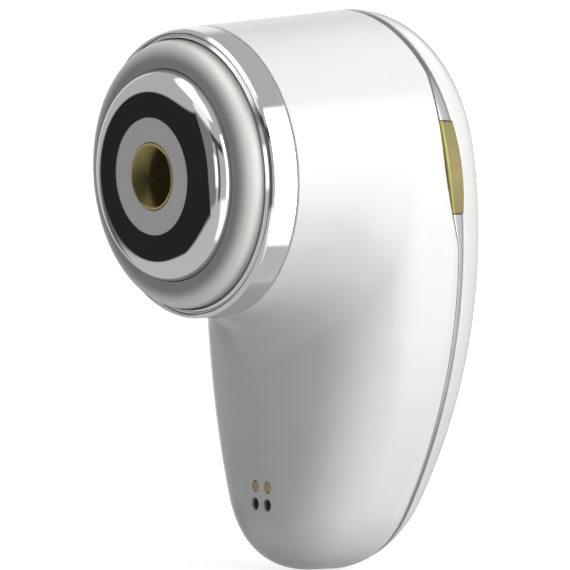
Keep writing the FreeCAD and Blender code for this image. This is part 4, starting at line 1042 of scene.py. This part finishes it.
for name in ("Face", "Flange", "Tail"):
    radius, length = pin.start[f"{name} Radius"], pin.start[f"{name} Length"]
    rod = pin.node("GeometryNodeMeshCylinder", sockets={
        "Vertices": PIN_SIDES, "Radius": radius, "Depth": length})
    lengths.append(pin.moved(rod, Translation=pin.spot(Z=pin.sum(pin_reach, length, 0.5))))
    pin_reach = pin.sum(pin_reach, length)
whole = pin.node("GeometryNodeJoinGeometry", sockets={0: lengths})
whole = pin.moved(whole, Rotation=(-math.pi / 2, 0.0, 0.0))
pin.finish(pin.start["Geometry"], whole, pin_brass)
contact = pin.build("charging_pins", [(x, PIN_FACE, z) for x, z in CONTACTS], **{
    "Face Radius": 1.05 * MM, "Face Length": 1.7 * MM, "Bevel": 0.2 * MM, "Flange Radius": 1.4 * MM,
    "Flange Length": 0.7 * MM, "Tail Radius": 0.5 * MM, "Tail Length": 2.6 * MM})
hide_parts("charge_contacts")
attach(contact, "body")


# Studio: a pale floor under the massager, soft boxes at the button's side and high behind it, and a
# tent of cards that only polished surfaces see, with a dark card facing the head.

FLOOR_REACH, FLOOR_GLOW = 3.0, 0.80
floor_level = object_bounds()[0][2]
corners = [(x * FLOOR_REACH, y * FLOOR_REACH, floor_level) for x, y in ((-1, -1), (1, -1), (1, 1), (-1, 1))]
ground = bpy.data.meshes.new("floor")
ground.from_pydata(corners, [], [(0, 1, 2, 3)])
floor = bpy.data.objects.new("floor", ground)
bpy.context.scene.collection.objects.link(floor)
floor.visible_glossy = False


def seen(finish):
    """1 for rays that show a surface itself, 0 for those that only gather its light."""
    path = finish.node("ShaderNodeLightPath").outputs
    direct, mirrored, through = (
        Value(finish, path[f"Is {kind} Ray"]) for kind in ("Camera", "Glossy", "Transmission"))
    return direct.math("MAXIMUM", mirrored).math("MAXIMUM", through)


pale = Finish("pale_floor")
dust = pale.noise(60.0)
matte = pale.node("ShaderNodeBsdfDiffuse", sockets={
    "Color": pale.colours(dust.step(*BLOTCH), (0.50, 0.50, 0.50), (0.52, 0.52, 0.52))})
glow = pale.node("ShaderNodeEmission", sockets={
    "Color": (1.0, 1.0, 1.0, 1.0), "Strength": seen(pale) * FLOOR_GLOW})
both = pale.node("ShaderNodeAddShader", sockets={0: matte.outputs[0], 1: glow.outputs[0]})
pale.node("ShaderNodeOutputMaterial", sockets={0: both.outputs[0]})
ground.materials.append(pale.block)

FILL = 0.44
studio = Finish("studio", "worlds")
strength = studio.node("ShaderNodeMapRange", sockets={"Value": seen(studio), "To Min": FILL, "To Max": 1.0})
sky = studio.node("ShaderNodeBackground", sockets={"Strength": strength.outputs[0]})
studio.node("ShaderNodeOutputWorld", sockets={0: sky.outputs[0]})
bpy.context.scene.world = studio.block

CENTRE = Vector((0.0, 0.025, -0.02))


def direction(azimuth, elevation):
    """Azimuth 0 is the front (-Y), 90 the button's side."""
    a, e = math.radians(azimuth), math.radians(elevation)
    return Vector((math.sin(a) * math.cos(e), -math.cos(a) * math.cos(e), math.sin(e)))


def soft_box(name, azimuth, elevation, distance, width, height, power):
    light = bpy.data.lights.new(name, "AREA")
    light.shape = "RECTANGLE"
    light.size, light.size_y = width, height
    light.energy = power
    thing = bpy.data.objects.new(name, light)
    bpy.context.scene.collection.objects.link(thing)
    aim = direction(azimuth, elevation)
    thing.location = CENTRE + aim * distance
    thing.rotation_euler = aim.to_track_quat("Z", "Y").to_euler()
    thing.visible_camera = False
    thing.visible_glossy = False


soft_box("side_box", 106.0, 8.0, 0.9, 0.9, 0.8, 7.2)
soft_box("top_box", 150.0, 62.0, 0.9, 0.7, 0.7, 3.3)

TENT = 1.6
tent_mesh = bpy.data.meshes.new("card_tent")
ball = bmesh.new()
bmesh.ops.create_icosphere(ball, subdivisions=4, radius=TENT)
bmesh.ops.reverse_faces(ball, faces=ball.faces)
ball.to_mesh(tent_mesh)
ball.free()
tent = bpy.data.objects.new("card_tent", tent_mesh)
bpy.context.scene.collection.objects.link(tent)
tent.visible_camera = False
tent.visible_diffuse = False
tent.visible_shadow = False
tent.visible_transmission = False
tent.visible_volume_scatter = False
DEGREES = 180.0 / math.pi
cards = Finish("card_tent")
cx, cy, cz = (value * (MM / TENT) for value in cards.axes())
bearing = cx.math("ARCTAN2", cy * -1.0) * DEGREES
elevation = cz.math("ARCSINE") * DEGREES


def card(left, right, side_soft, bottom, top, end_soft):
    """An upright card between two bearings and two elevations (degrees)."""
    return bearing.between(left, right, side_soft) * elevation.between(bottom, top, end_soft)


below = elevation.math("MINIMUM", -5.0) + 5.0
wedge = 1.0 - (elevation - bearing * 0.84).step(41.0, 45.0)
wedge = wedge * (elevation + bearing * 0.95).step(-65.0, -60.5)
wedge = wedge * elevation.step(-33.0, -24.0) * bearing.step(-61.0, -57.0)
wedge = wedge * (1.0 - (bearing + below * 1.1).step(-10.0, -4.0))
tail = bearing.between(-95.0, -54.0, 4.0) * (elevation - bearing * 0.33).between(7.0, 16.0, 3.0)
bright = bearing.step(84.0, 124.0) * (1.0 - bearing.step(130.0, 142.0))
bright = bright * elevation.step(-42.0, -8.0) * (1.0 - elevation.step(40.0, 43.0))
arch = bearing.between(35.0, 84.0, 4.0) * (elevation + bearing * 0.18).between(38.0, 48.0, 3.0)
overhead = bearing.between(-130.0, 75.0, 6.0) * elevation.step(54.0, 59.0)
low_card = (bearing + elevation * 0.4).between(52.0, 105.0, 4.0) * elevation.between(-64.0, -21.0, 3.0)
tone = cards.colours(cz.step(-0.3, 0.2), (0.50, 0.50, 0.505), (0.45, 0.45, 0.455))
for mask, grey in (
    (card(-130.0, -104.0, 6.0, -12.0, 28.0, 6.0), 1.0),
    (overhead, 1.15),
    (card(-8.0, 45.0, 6.0, 44.0, 60.0, 4.0), 0.95),
    (card(-7.0, 35.0, 3.0, -22.0, 40.0, 4.0), 0.20),
    (arch, 0.05),
    (card(46.0, 57.0, 2.0, -21.0, 32.0, 4.0), 0.09),
    (card(31.0, 45.0, 2.5, -8.0, 18.0, 3.0), 1.3),
    (card(88.0, 168.0, 1.5, -44.0, 43.0, 1.5), 1.4),
    (bright, 4.0),
    (card(-172.0, -145.0, 2.0, 18.0, 40.0, 3.0), 1.2),
    (low_card, 1.1),
    (card(-146.0, -131.0, 1.5, -3.0, 14.0, 2.0), 0.12),
    (tail, 0.12),
    (wedge, 0.018),
):
    tone = cards.colours(mask, tone, (grey, grey, grey))
lit = cards.node("ShaderNodeEmission", sockets={"Color": tone, "Strength": 1.0})
cards.node("ShaderNodeOutputMaterial", sockets={0: lit.outputs[0]})
tent_mesh.materials.append(cards.block)


# Camera: a flat view without perspective, a little above the barrel and on the button's side of the
# head, framed like the photograph.

AZIMUTH, ELEVATION, DISTANCE = 53.0, 6.0, 1.4
PIXEL, PICTURE, AIM_RIGHT, AIM_DOWN = MM / 5.6, 570, 102.0, 111.0
back = direction(AZIMUTH, ELEVATION)
right = Vector((math.cos(math.radians(AZIMUTH)), math.sin(math.radians(AZIMUTH)), 0.0))
upward = back.cross(right)
aim = Vector((0.0, BEZEL_FRONT * MM, 0.0)) + right * (AIM_RIGHT * PIXEL) - upward * (AIM_DOWN * PIXEL)
lens = bpy.data.cameras.new("camera")
lens.type = "ORTHO"
lens.ortho_scale = PICTURE * PIXEL
lens.clip_end = 20.0
camera = bpy.data.objects.new("camera", lens)
bpy.context.scene.collection.objects.link(camera)
facing_back = Matrix((right, upward, back)).transposed().to_4x4()
camera.matrix_world = Matrix.Translation(aim + back * DISTANCE) @ facing_back
bpy.context.scene.camera = camera
bpy.context.scene.view_settings.view_transform = "Standard"
